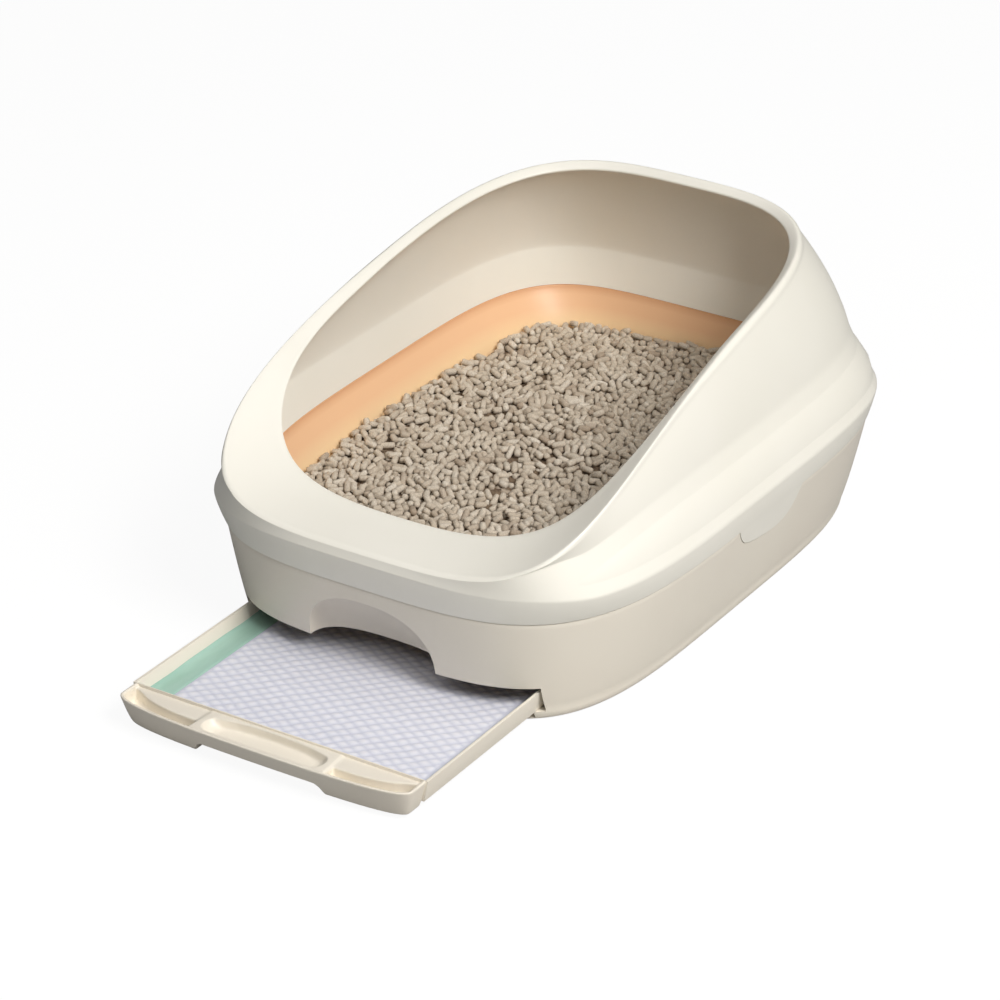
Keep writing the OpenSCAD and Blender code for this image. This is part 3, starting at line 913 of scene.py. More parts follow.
@dataclass
class Tub:
    """The lower moulding: wall, floor, drawer opening and scooped finger recess."""

    sizes: BoxSizes = SIZES
    scoop_height: float = 48.5
    scoop_depth: float = 28.0
    scoop_half_width: float = 58.5
    dome_power: float = 2.4
    dome_corner: float = 0.72
    end_recess: float = 131.5
    end_reach: float = 160.6
    clip_gap: float = 0.7
    tool_front: float = -330.0
    runner_wall: float = 2.4
    foot_disc: float = 14.0

    def shell(self) -> bpy.types.Object:
        """Loft the wall with its rounded foot, ledge and rim.

        Returns:
            The wall, open in the middle.
        """
        s = self.sizes
        low = s.tub_at(s.foot_radius)
        foot = [
            low.drawn_in(0.6 * s.foot_radius * (1 - math.sin(a))).at(s.foot_radius * (1 - math.cos(a)))
            for a in np.linspace(0, math.pi / 2, 9)
        ]
        ledge = s.seam - 0.6
        rise = [s.tub_skin(z).at(z) for z in np.linspace(s.foot_radius, ledge - 0.7, 18)[1:]]
        brow = [s.tub_skin(ledge).drawn_in(0.2).at(ledge - 0.15), s.tub_skin(ledge).drawn_in(0.6).at(ledge)]
        lip = s.tub_top().drawn_in(2.4)
        rim_top = s.pan_rim - 2.5 - s.seat
        rim = [
            lip.at(ledge),
            lip.at(rim_top - 1),
            lip.drawn_in(1).at(rim_top),
            lip.drawn_in(s.wall - 0.6).at(rim_top),
            lip.drawn_in(s.wall).at(rim_top - 0.6),
        ]
        inner = [
            lip.drawn_in(s.wall).at(s.seam + 2),
            s.tub_at(s.seam - 6).drawn_in(s.wall + 0.4).at(s.seam - 6),
            s.tub_at(60).drawn_in(s.wall).at(60),
            s.tub_at(s.foot_radius + 8).drawn_in(s.wall).at(s.foot_radius + 8),
            low.drawn_in(s.wall + 4).at(s.sill - 1),
            low.drawn_in(18).at(s.sill - 1),
            low.drawn_in(20).at(0),
        ]
        return loft("tub_shell", foot + rise + brow + rim + inner, ring_closed=True)

    def dome_ring(self, width: float, depth: float, face: float, height: float) -> np.ndarray:
        """Return one level of the finger recess, open to the front.

        Args:
            width: half its width at this level.
            depth: how far it reaches in behind the tub's face.
            face: where the tub's face is, along y.
            height: the level's height.

        Returns:
            The level's points.
        """
        turn = np.linspace(0, math.pi, 73)
        across = width * signed_power(np.cos(turn), self.dome_corner)
        along = face + depth * signed_power(np.sin(turn), self.dome_corner)
        front = [[-width, self.tool_front], [width, self.tool_front]]
        return at_height(np.concatenate([front, np.column_stack([across, along])]), height)

    def dome(self, grow: float, drop: float) -> bpy.types.Object:
        """Loft the finger recess, grown for its backing.

        Args:
            grow: how much larger it is than the recess itself.
            drop: how far it starts below the drawer's opening.

        Returns:
            The tool's solid.
        """
        s = self.sizes
        width, depth = self.scoop_half_width + grow, self.scoop_depth + grow
        rings = [self.dome_ring(width, depth, s.tub_skin(s.bay_top).front, s.bay_top - drop)]
        power = self.dome_power
        for share in np.sin(np.linspace(0, 0.4985 * math.pi, 30)):
            height = s.bay_top + share * (self.scoop_height + grow) + 0.01
            rings.append(
                self.dome_ring(
                    width * (1 - share**power) ** (1 / power),
                    depth * math.sqrt(1 - share**2),
                    s.tub_skin(height).front,
                    height,
                )
            )
        return loft("dome_tool", rings, ring_closed=False)

    def backing(self) -> bpy.types.Object:
        """Make the recess's backing, kept behind the tub's face.

        Returns:
            The backing's solid.
        """
        s = self.sizes
        solid = self.dome(s.wall, 0.0)
        foot, top = s.bay_top - 1, s.bay_top + 56
        low, high = s.tub_skin(s.bay_top).front + 1.6, s.tub_skin(top).front + 1.6
        side = [(low, foot), (-200.0, foot), (-200.0, top), (high, top)]
        rings = [np.array([(x, y, z) for y, z in side]) for x in (100.0, -100.0)]
        keep = loft("keep_tool", rings, ring_closed=False)
        outward(keep)
        combine(solid, keep, "INTERSECT")
        return solid

    def floor(self) -> bpy.types.Object:
        """Make the flat floor, the deeper sill under the opening and the middle foot.

        Returns:
            The three joined to one solid.
        """
        s = self.sizes
        outline = s.tub_at(s.foot_radius).drawn_in(9).points(96)
        plate = prism("floor_tool", [tuple(p) for p in outline], s.sill - s.wall, s.sill)
        sill = prism("sill_tool", [tuple(p) for p in outline], 0.6, s.sill - 0.3)
        front = s.tub_at(s.foot_radius).front
        keep = block("sill_keep", (-s.bay_half_width, front, 0), (s.bay_half_width, front + 56, 9))
        combine(sill, keep, "INTERSECT")
        combine(plate, sill, "UNION")
        turn = np.linspace(0, 2 * math.pi, 48, endpoint=False)
        disc = [(self.foot_disc * math.cos(a), self.foot_disc * math.sin(a)) for a in turn]
        foot = prism("foot_tool", disc, 0, s.sill - 1)
        combine(plate, foot, "UNION")
        return plate

    def clip_pocket(self, side: int) -> bpy.types.Object:
        """Make the tool for the shallow pocket that a clip tab sits in, open upwards.

        Args:
            side: 1 for the right side and -1 for the left.

        Returns:
            The tool's solid.
        """
        s = self.sizes
        outline = tab_outline(self.clip_gap)
        rings = []
        for x in (s.half_width - 4, s.half_width + 18):
            high = np.minimum(s.seam + outline[:, 1], s.seam)
            rings.append(np.column_stack([np.full(len(outline), side * x), outline[:, 0], high]))
        pocket = loft("pocket_tool", rings, ring_closed=False)
        outward(pocket)
        return pocket

    def build(self, material: bpy.types.Material) -> bpy.types.Object:
        """Put the tub together and dress it.

        Args:
            material: the cream plastic.

        Returns:
            The finished piece.
        """
        s = self.sizes
        tub = self.shell()
        outward(tub)
        combine(tub, self.backing(), "UNION")
        combine(tub, self.floor(), "UNION")
        for side in (-1, 1):
            half = self.runner_wall / 2
            middle = side * (s.bay_half_width + half)
            low, high = (middle - half, -215, s.sill - 1), (middle + half, 205, s.sill + 14)
            runner = block("runner_tool", low, high)
            combine(tub, runner, "UNION")
        front = -s.half_length - 20
        bay = block("bay_tool", (-s.bay_half_width, front, s.sill), (s.bay_half_width, front + 82, s.bay_top))
        combine(tub, bay, "DIFFERENCE")
        recess_back = s.ledge_back() + self.end_reach
        ends = block("end_tool", (-self.end_recess, front, 3.4), (self.end_recess, recess_back, s.sill + 3.4))
        combine(tub, ends, "DIFFERENCE")
        combine(tub, self.dome(0.0, 8.0), "DIFFERENCE")
        for side in (-1, 1):
            combine(tub, self.clip_pocket(side), "DIFFERENCE")
        smooth_by_angle(tub, 32)
        dress(tub, material, Body.TUB, Slot.SHELL, "tub")
        return tub


# --- the rim cover --------------------------------------------------------------------------------


@dataclass
class RimCover:
    """The upper moulding, from its skirt over the shoulder and the wall to the rolled rim."""

    sizes: BoxSizes = SIZES
    rim_front: float = 129.3
    rim_back: float = 266.0
    valley_height: float = 164.0
    shelf: float = 51.5
    roll: float = 8.3
    skirt_wall: float = 2.6
    band_side: float = 21.0
    band_front: float = 24.5
    tab_wall: float = 1.4
    tab_stand: float = 0.4
    band: tuple[tuple[float, float], ...] = (
        (0.0, 0.0), (0.06, 0.03), (0.4, 0.3), (0.75, 0.64), (0.94, 0.88), (1.0, 0.98),
    )
    shoulder: tuple[tuple[float, float], ...] = (
        (0.015, 0.03), (0.07, 0.08), (0.2, 0.2), (0.34, 0.33),
        (0.48, 0.46), (0.62, 0.6), (0.77, 0.75), (0.9, 0.89),
    )

    def crest(self) -> Outline:
        """Return the rim's outline."""
        return self.sizes.around(-30.4, -1.1, -51.6, 5.06, 3.24, -1.2)

    def edge(self) -> Outline:
        """Return the outline of the rim's free inner edge.

        Returns:
            The outline.
        """
        rim = self.crest()
        return Outline(
            rim.half_width - self.roll, rim.front + self.shelf, rim.back - self.roll, 3.82, 3.3, -3.4
        )

    def valley(self) -> Outline:
        """Return the outline of the valley between shoulder and wall."""
        return self.sizes.around(-12.6, -0.5, -13, 4.35, 4.45)

    def band_head(self) -> Outline:
        """Return the outline where the band breaks into the shoulder."""
        return self.sizes.around(7.4, 7.2, 3.4, 3.95, 4.75)

    def drip(self) -> Outline:
        """Return the inner outline where the cover meets the pan's rim."""
        return self.sizes.around(-18.5, -15.2, -19.5, 3.4, 4.6)

    @staticmethod
    def tapered(flat: np.ndarray) -> np.ndarray:
        """Narrow the high wall towards the back."""
        reach = flat[:, 1] / 250
        return np.column_stack([flat[:, 0] * (1 - 0.068 * reach + 0.022 * reach**2), flat[:, 1]])

    def rim_height(self, y: np.ndarray) -> np.ndarray:
        """Return the rim's height: a steep rise from the step-in, then a slow one to the back.

        Args:
            y: places along the box.

        Returns:
            The heights at those places.
        """
        crest = self.crest()
        share = np.clip((y - crest.front) / (crest.back - crest.front), 0, 1)
        rise = 0.39 * (1 - (1 - share) ** 3.52) + 0.61 * share**0.593
        return self.rim_front + (self.rim_back - self.rim_front) * rise

    def frontness(self, y: np.ndarray, start: float = 215.0, end: float = 264.0) -> np.ndarray:
        """Return 1 along the straight front, 0 along the sides, and a smooth change at the corners.

        Args:
            y: places along the box.
            start: how far in front of the middle the change starts.
            end: where it is complete.

        Returns:
            The shares at those places.
        """
        share = np.clip((-y - start) / (end - start), 0, 1)
        return share * share * (3 - 2 * share)

    def valley_at(self, y: np.ndarray) -> np.ndarray:
        """Return the valley's height: level at the back and sides, under the rim at the front.

        Args:
            y: places along the box.

        Returns:
            The heights at those places.
        """
        dip = (1 - np.clip((y + self.sizes.half_length) / 170, 0, 1)) ** 2.2
        top = self.valley_height + 2
        return top - (top - (self.rim_front - 5)) * dip

    def band_at(self, y: np.ndarray) -> np.ndarray:
        """Return the height of the band's upper break, higher along the front."""
        return self.sizes.seam + self.band_side + (self.band_front - self.band_side) * self.frontness(y)

    def band_ring(self) -> np.ndarray:
        """Return the points of the band's upper break."""
        flat = self.band_head().points()
        return np.column_stack([flat, self.band_at(flat[:, 1])])

    def crest_ring(self) -> np.ndarray:
        """Return the rim's points."""
        flat = self.tapered(self.crest().points())
        return np.column_stack([flat, self.rim_height(flat[:, 1])])

    def valley_ring(self, inset: float = 0.0) -> np.ndarray:
        """Return the valley's points, drawn in by an inset."""
        flat = self.valley().drawn_in(inset).points()
        return np.column_stack([flat, self.valley_at(flat[:, 1])])

    def soft_valley_ring(self) -> np.ndarray:
        """Return the outer valley: it fades out at the front, where the rim rolls straight to the band.

        Returns:
            The ring's points.
        """
        valley, crest = self.valley_ring(), self.crest_ring()
        share = self.frontness(crest[:, 1])[:, None]
        rolled = crest + np.array([0.0, -6.0, -2.5])
        return valley * (1 - share) + rolled * share

    def rim_roll(self) -> list[np.ndarray]:
        """Return the outer half of the rolled rim, rounder and wider along the front.

        Returns:
            The roll's rings, from the wall to the crest.
        """
        crest, edge = self.crest_ring(), self.edge_ring()
        share = self.frontness(crest[:, 1])[:, None]
        side = [(-3.2, 6.5), (-2.9, 4.4), (-2.0, 2.5), (-0.5, 1.0), (1.5, 0.3)]
        front = [(-5.1, 1.7), (-4.0, 1.0), (-2.6, 0.4), (-0.9, 0.0), (1.5, 0.0)]
        rings = []
        for (near, drop), (front_near, front_drop) in zip(side, front):
            plain = shifted(crest, edge, near, drop)
            rings.append(plain * (1 - share) + shifted(crest, edge, front_near, front_drop) * share)
        return rings

    def edge_ring(self) -> np.ndarray:
        """Return the free edge's points: below the rim at the sides, level with it at the front.

        Returns:
            The ring's points.
        """
        flat = self.tapered(self.edge().points())
        crest = self.tapered(self.crest().points())
        ahead = np.maximum(0, -np.sin(ring_angles()))
        drop = 4.8 - 9.3 * ahead**2 - 31.2 * ahead**2 * (1 - ahead**2)
        return np.column_stack([flat, self.rim_height(crest[:, 1]) - drop])

    @staticmethod
    def leaned(share: float) -> float:
        """Return how far in the high wall is at a share of its height."""
        return 0.55 * share + 0.45 * share * share

    def shell(self) -> bpy.types.Object:
        """Loft the whole moulding as one closed wall.

        Returns:
            The moulding, without its tabs.
        """
        s = self.sizes
        seam, flange = s.band_foot().at(s.seam), self.band_ring()
        valley, crest, edge = self.soft_valley_ring(), self.crest_ring(), self.edge_ring()
        outer = [between(seam, flange, across, up) for across, up in self.band]
        outer += [between(flange, valley, across, up) for across, up in self.shoulder]
        outer.append(valley)
        roll = self.rim_roll()
        outer += [between(valley, roll[0], self.leaned(k), k) for k in (0.1, 0.2, 0.4, 0.6, 0.8, 0.93)]
        outer += roll
        rolled = [
            lifted(between(crest, edge, 0.45, 0.35), 0.25),
            between(crest, edge, 0.75, 0.7),
            lifted(between(crest, edge, 0.93, 0.96), 0.1),
            lifted(edge, -0.5),
            lifted(edge, -1.6),
            lifted(between(crest, edge, 0.95, 0.98), -2.4),
            lifted(between(crest, edge, 0.6, 0.6), -3.2),
        ]
        drip, inner_valley = self.drip(), self.valley_ring(s.wall)
        top = between(crest, edge, 0.34, 0)
        inner = [lifted(between(inner_valley, between(crest, edge, 0.42, 0.4), 0.93, 0.93), -1.6)]
        inner += [between(inner_valley, top, self.leaned(k), k * 0.97) for k in (0.7, 0.4, 0.15)]
        inner.append(lifted(inner_valley, -1.5))
        low = drip.at(s.pan_rim + s.seat)
        inner += [between(lifted(inner_valley, -1.5), low, k, k) for k in (0.12, 0.5, 0.9)]
        inner.append(low)
        path = rounded_path(outer + rolled + inner, 2)
        in_flange = offset_inward(flange, self.skirt_wall)
        hidden = [
            drip.drawn_in(-2.2).at(s.pan_rim + s.seat),
            lifted(self.valley_ring(0.6), -4.2),
            lifted(between(in_flange, valley, 0.57, 0.71), -3.2),
            lifted(between(in_flange, valley, 0.2, 0.43), -2.2),
            lifted(between(in_flange, valley, 0.04, 0.16), -1),
            in_flange,
            offset_inward(seam, self.skirt_wall),
        ]
        return loft("rim_cover_shell", path + hidden, ring_closed=True)

    def tab(self, side: int) -> bpy.types.Object:
        """Make one clip tab that hangs from the skirt.

        Args:
            side: 1 for the right side and -1 for the left.

        Returns:
            The tab's solid.
        """
        s = self.sizes
        outline = tab_outline()
        foot, head = s.tub_skin(s.seam - 26).half_width, s.tub_skin(s.seam).half_width
        lean = (head - foot) / 26
        rings = []
        for depth in (0.0, self.tab_wall):
            x = head + self.tab_stand - depth + outline[:, 1] * lean
            rings.append(np.column_stack([side * x, outline[:, 0], s.seam + outline[:, 1]]))
        piece = loft("tab_tool", rings, ring_closed=False)
        outward(piece)
        return piece

    def build(self, material: bpy.types.Material) -> bpy.types.Object:
        """Put the cover together and dress it.

        Args:
            material: the cream plastic.

        Returns:
            The finished piece.
        """
        cover = self.shell()
        outward(cover)
        for side in (-1, 1):
            combine(cover, self.tab(side), "UNION")
        smooth_by_angle(cover, 38)
        dress(cover, material, Body.COVER, Slot.SHELL, "rim_cover")
        return cover


# --- the litter pan and its pellets ---------------------------------------------------------------


@dataclass
class LitterPan:
    """The orange pan with its flange and slotted floor."""

    sizes: BoxSizes = SIZES
    thick: float = 2.4
    slot_width: float = 4.0
    slot_length: float = 34.0

    def shell(self) -> bpy.types.Object:
        """Loft the wall and flange.

        Returns:
            The pan's wall, open in the middle.
        """
        s, t = self.sizes, self.thick
        mouth, fill, foot = s.pan_mouth(), s.pan_fill(), s.pan_foot()
        flange = s.tub_top().drawn_in(3)
        outside = rounded_path(
            [
                foot.drawn_in(-t).at(s.pan_floor - t),
                foot.drawn_in(-t).at(s.pan_floor + 4),
                fill.drawn_in(-t).at(s.litter - 2),
                mouth.drawn_in(-t).at(s.pan_rim - t),
            ]
        )
        inside = rounded_path(
            [
                flange.at(s.pan_rim - 0.2),
                flange.drawn_in(0.4).at(s.pan_rim),
                mouth.drawn_in(-1.6).at(s.pan_rim),
                mouth.drawn_in(-0.3).at(s.pan_rim - 0.5),
                mouth.at(s.pan_rim - 2.2),
                fill.at(s.litter - 2),
                foot.at(s.pan_floor + 5),
                foot.drawn_in(1.2).at(s.pan_floor + 1.2),
                foot.drawn_in(5).at(s.pan_floor),
            ]
        )
        rings = outside + [flange.at(s.pan_rim - t)] + inside + [foot.drawn_in(5).at(s.pan_floor - t)]
        return loft("litter_pan_shell", rings, ring_closed=True)

    def floor(self) -> bpy.types.Object:
        """Make the slotted floor as one sheet of bars and bridges.

        Returns:
            The floor's solid.
        """
        s, t = self.sizes, self.thick
        foot = s.pan_foot()
        line = [tuple(p) for p in foot.drawn_in(2).points(144)]
        plate = prism("pan_floor_tool", line, s.pan_floor - t, s.pan_floor)
        pitch_x, pitch_y = self.slot_length + 8, 2.6 * self.slot_width
        columns = int((2 * foot.half_width - 60) // pitch_x)
        rows = int((foot.back - foot.front - 90) // pitch_y)
        points: list[Place] = []
        faces: list[tuple[int, ...]] = []
        for i in range(columns):
            for j in range(rows):
                x, y = (i - (columns - 1) / 2) * pitch_x, (j - (rows - 1) / 2) * pitch_y
                half_x, half_y, start = self.slot_length / 2, self.slot_width / 2, len(points)
                for z in (s.pan_floor - t - 1, s.pan_floor + 1):
                    points += [
                        (x - half_x, y - half_y, z), (x + half_x, y - half_y, z),
                        (x + half_x, y + half_y, z), (x - half_x, y + half_y, z),
                    ]
                faces += [
                    (start + 3, start + 2, start + 1, start), (start + 4, start + 5, start + 6, start + 7),
                    (start, start + 1, start + 5, start + 4), (start + 1, start + 2, start + 6, start + 5),
                    (start + 2, start + 3, start + 7, start + 6), (start + 3, start, start + 4, start + 7),
                ]
        combine(plate, build_mesh("slot_tool", np.array(points), faces), "DIFFERENCE")
        return plate

    def build(self, material: bpy.types.Material) -> bpy.types.Object:
        """Put the pan together and dress it.

        Args:
            material: the orange plastic.

        Returns:
            The finished piece.
        """
        pan = self.shell()
        outward(pan)
        combine(pan, self.floor(), "UNION")
        smooth_by_angle(pan, 35)
        dress(pan, material, Body.PAN, Slot.PAN, "litter_pan")
        return pan


@dataclass
class PelletBed:
    """The litter: settled pellets over a dark bed, which paints the shade in the gaps between them."""

    sizes: BoxSizes = SIZES
    radius: float = 2.75
    top_count: int = 2500
    low_count: int = 2500
    depth: float = 8.5
    heaps: tuple[int, int] = (10, 15)
    heap_height: float = 1.9
    rounds: int = 80
    close: float = 0.97
    push_share: float = 0.42
    longest_push: float = 2.0
    swing_share: float = 0.25
    sink: float = 0.02
    kinds: int = 5
    bed_steps: int = 144
    seed: int = 7

    def mound(self, x: np.ndarray, y: np.ndarray) -> np.ndarray:
        """Return the low mounds and the heaps on them, as a height above the fill line.

        Args:
            x: places across the pan, in millimetres.
            y: places along the pan.

        Returns:
            The heights at those places.
        """
        a, b = np.radians(x), np.radians(y)
        waves = 2.4 * np.sin(a * 2.1 + math.radians(20)) * np.cos(b * 1.4)
        waves += 1.6 * np.sin(b * 3.3 + a * 1.1)
        waves -= 3 * (np.abs(x) / 195) ** 3 + 2.5 * (np.abs(y) / 270) ** 4
        rim = self.sizes.pan_fill().drawn_in(2)
        across, along = x / rim.half_width, np.where(y < 0, -y / rim.front, y / rim.back)
        farther = np.maximum(np.maximum(abs(across), abs(along)), 1e-6)
        swell = rim.shares_inside(np.column_stack([x, y])) / farther
        beat = np.cos(np.pi * self.heaps[0] * (across * swell + 1))
        beat += np.cos(np.pi * self.heaps[1] * (along * swell + 1))
        return waves + self.heap_height * (0.8 + 0.2 * np.sin(a * 3.1 + b * 1.7)) * beat / 2

    def bed(self) -> bpy.types.Object:
        """Loft the body of the litter under the loose pellets.

        Returns:
            The finished piece.
        """
        s = self.sizes
        top, low = s.pan_fill().drawn_in(0.6), s.pan_foot().drawn_in(4.6)
        rings = [
            low.at(s.pan_floor + s.seat, self.bed_steps),
            s.pan_foot().drawn_in(0.6).at(s.pan_floor + 5, self.bed_steps),
            top.drawn_in(2.4).at(s.litter - 12, self.bed_steps),
        ]
        line = top.points(self.bed_steps)
        for share in np.linspace(0.97, 0.04, 26):
            x, y = line[:, 0] * share, 1.5 + (line[:, 1] - 1.5) * share
            rings.append(np.column_stack([x, y, s.litter - 3.4 + self.mound(x, y)]))
        bed = loft("litter_body", rings, ring_closed=False)
        smooth_by_angle(bed, 50)
        return bed

    def scatter(self) -> tuple[np.ndarray, np.ndarray, np.ndarray]:
        """Throw pellets over the bed at random.

        Returns:
            Middles, directions and half lengths of the pellets' inner lines, in millimetres.
        """
        rng = np.random.default_rng(self.seed)
        fill = self.sizes.pan_fill()
        count = self.top_count + self.low_count
        spots = rng.uniform(-1, 1, (count * 2, 2)) * np.array([fill.half_width, 240.0])
        spots = spots[fill.shares_inside(spots) < 0.975][:count]
        below = np.where(np.arange(len(spots)) < self.top_count, rng.uniform(-1, 2, len(spots)), 6.5)
        height = self.sizes.litter + self.mound(spots[:, 0], spots[:, 1]) - below
        turn = rng.uniform(0, 2 * np.pi, len(spots))
        tilt = np.clip(rng.normal(0, 0.3, len(spots)), -1.3, 1.3)
        way = np.column_stack([np.cos(turn) * np.cos(tilt), np.sin(turn) * np.cos(tilt), np.sin(tilt)])
        half = rng.uniform(1.6, 4.3, len(spots))
        return np.column_stack([spots, height]), way, half

    def pairs(self, middles: np.ndarray) -> np.ndarray:
        """Return the pairs of pellets that are close enough to touch.

        Args:
            middles: middles of the pellets.

        Returns:
            Two numbers of pellets for each pair.
        """
        tree = KDTree(len(middles))
        for i, point in enumerate(middles):
            tree.insert(point, i)
        tree.balance()
        reach = 2 * self.radius + 6.5
        found = []
        for i, point in enumerate(middles):
            found += [(i, j) for _, j, _ in tree.find_range(point, reach) if j > i]
        return np.array(found)

    def settle(self, middles: np.ndarray, way: np.ndarray, half: np.ndarray) -> None:
        """Push overlapping pellets apart, keep them in the pan and let them sink together.

        Args:
            middles: changed in place.
            way: directions, changed in place.
            half: half lengths.
        """
        fill = self.sizes.pan_fill().drawn_in(1.0)
        pair = self.pairs(middles)
        for turn in range(self.rounds):
            if turn % 6 == 5:
                pair = self.pairs(middles)
            i, j = pair[:, 0], pair[:, 1]
            gap = middles[i] - middles[j]
            along = np.sum(way[i] * way[j], 1)
            on_i, on_j = np.sum(way[i] * gap, 1), np.sum(way[j] * gap, 1)
            spread = np.maximum(1 - along**2, 1e-3)
            s = np.clip((along * on_j - on_i) / spread, -half[i], half[i])
            t = np.clip(along * s + on_j, -half[j], half[j])
            s = np.clip(along * t - on_i, -half[i], half[i])
            line = gap + way[i] * s[:, None] - way[j] * t[:, None]
            distance = np.linalg.norm(line, axis=1)
            deep = 2 * self.radius * self.close - distance
            hit = deep > 0
            i, j, s, t = i[hit], j[hit], s[hit], t[hit]
            push = line[hit] / np.maximum(distance[hit], 1e-3)[:, None]
            push *= (deep[hit] * self.push_share)[:, None]
            shift, swing = np.zeros_like(middles), np.zeros_like(way)
            np.add.at(shift, i, push)
            np.add.at(shift, j, -push)
            np.add.at(swing, i, push * (s / np.maximum(half[i], 1) ** 2)[:, None])
            np.add.at(swing, j, -push * (t / np.maximum(half[j], 1) ** 2)[:, None])
            size = np.linalg.norm(shift, axis=1)
            shift *= np.minimum(1, self.longest_push / np.maximum(size, 1e-6))[:, None]
            middles += shift
            way += np.clip(swing * self.swing_share, -0.15, 0.15)
            middles[:, 2] -= self.sink
            self.contain(middles, way, half, fill)

    def contain(self, middles: np.ndarray, way: np.ndarray, half: np.ndarray, fill: Outline) -> None:
        """Hold the pellets over the bed, under the heap's top and inside the pan's wall.

        Args:
            middles: changed in place.
            way: directions, changed in place.
            half: half lengths.
            fill: the outline that they stay inside.
        """
        way /= np.linalg.norm(way, axis=1)[:, None]
        ground = self.sizes.litter + self.mound(middles[:, 0], middles[:, 1])
        rise = np.abs(way[:, 2]) * half
        middles[:, 2] = np.maximum(middles[:, 2], ground - self.depth + rise)
        middles[:, 2] = np.minimum(middles[:, 2], ground + 1.4 - 0.6 * rise)
        for end in (-1, 1):
            tip = middles + end * way * (half + 0.5)[:, None]
            share = fill.drawn_in(self.radius).shares_inside(tip)
            out = share > 1
            middles[out, :2] -= (tip[out, :2] * (1 - 1 / share[out])[:, None])

    def pellet_tree(self, material: bpy.types.Material) -> bpy.types.NodeTree:
        """Build the node tree that puts a rough pellet on each point.

        Args:
            material: the pellets' material.

        Returns:
            The tree.
        """
        values = {"Pellet Radius": self.radius * MM, "Seed": self.seed}
        tree, start, finish = geometry_tree("pellets_on_points", values)
        nodes, join = tree.nodes, tree.links.new
        variants = nodes.new("GeometryNodeGeometryToInstance")
        for kind in range(self.kinds):
            join(self.pellet_shape(tree, start, kind), variants.inputs[0])
        spread = nodes.new("GeometryNodeInstanceOnPoints")
        spread.inputs["Pick Instance"].default_value = True
        join(start.outputs["Geometry"], spread.inputs["Points"])
        join(variants.outputs[0], spread.inputs["Instance"])
        for socket, label, kind in (
            ("Instance Index", "kind", "INT"),
            ("Rotation", "turn", "FLOAT_VECTOR"),
            ("Scale", "size", "FLOAT_VECTOR"),
        ):
            join(named(tree, label, kind).outputs[0], spread.inputs[socket])
        real = nodes.new("GeometryNodeRealizeInstances")
        shade = nodes.new("GeometryNodeSetShadeSmooth")
        paint = nodes.new("GeometryNodeSetMaterial")
        paint.inputs["Material"].default_value = material
        chain = (spread, real, shade, paint, finish)
        for first, second in zip(chain, chain[1:]):
            join(first.outputs[0], second.inputs[0])
        return tree

    @staticmethod
    def pellet_shape(tree: bpy.types.NodeTree, start: bpy.types.Node, kind: int) -> bpy.types.NodeSocket:
        """Add the nodes of one worn pellet of unit length.

        Args:
            tree: the pellets' tree.
            start: the tree's input node.
            kind: which of the shapes it is; each has its own dents.

        Returns:
            The pellet's geometry.
        """
        nodes, join = tree.nodes, tree.links.new
        ball, where = nodes.new("GeometryNodeMeshUVSphere"), nodes.new("GeometryNodeInputPosition")
        ball.inputs["Segments"].default_value, ball.inputs["Rings"].default_value = 9, 6
        ball.inputs["Radius"].default_value = 1.0
        split, merge = nodes.new("ShaderNodeSeparateXYZ"), nodes.new("ShaderNodeCombineXYZ")
        join(where.outputs[0], split.inputs[0])
        x, y, z = split.outputs
        squares = maths(tree, "ADD", maths(tree, "POWER", x, 2.0), maths(tree, "POWER", y, 2.0))
        around = maths(tree, "SQRT", squares)
        swell = maths(tree, "POWER", maths(tree, "MAXIMUM", around, 0.01), -0.56)
        swell = maths(tree, "MULTIPLY", swell, start.outputs["Pellet Radius"])
        reach = maths(tree, "POWER", maths(tree, "ABSOLUTE", z), 0.4)
        for axis, value in enumerate((x, y)):
            join(maths(tree, "MULTIPLY", value, swell), merge.inputs[axis])
        reach = maths(tree, "MULTIPLY", reach, maths(tree, "SIGN", z))
        join(maths(tree, "MULTIPLY", reach, 0.5), merge.inputs[2])
        dent, place = nodes.new("FunctionNodeRandomValue"), nodes.new("GeometryNodeSetPosition")
        dent.data_type = "FLOAT_VECTOR"
        dent.inputs[0].default_value = (-0.00022, -0.00022, -0.03)
        dent.inputs[1].default_value = (0.00022, 0.00022, 0.03)
        join(maths(tree, "ADD", start.outputs["Seed"], kind * 31.0), dent.inputs["Seed"])
        join(ball.outputs["Mesh"], place.inputs["Geometry"])
        join(merge.outputs[0], place.inputs["Position"])
        join(dent.outputs[0], place.inputs["Offset"])
        return place.outputs[0]

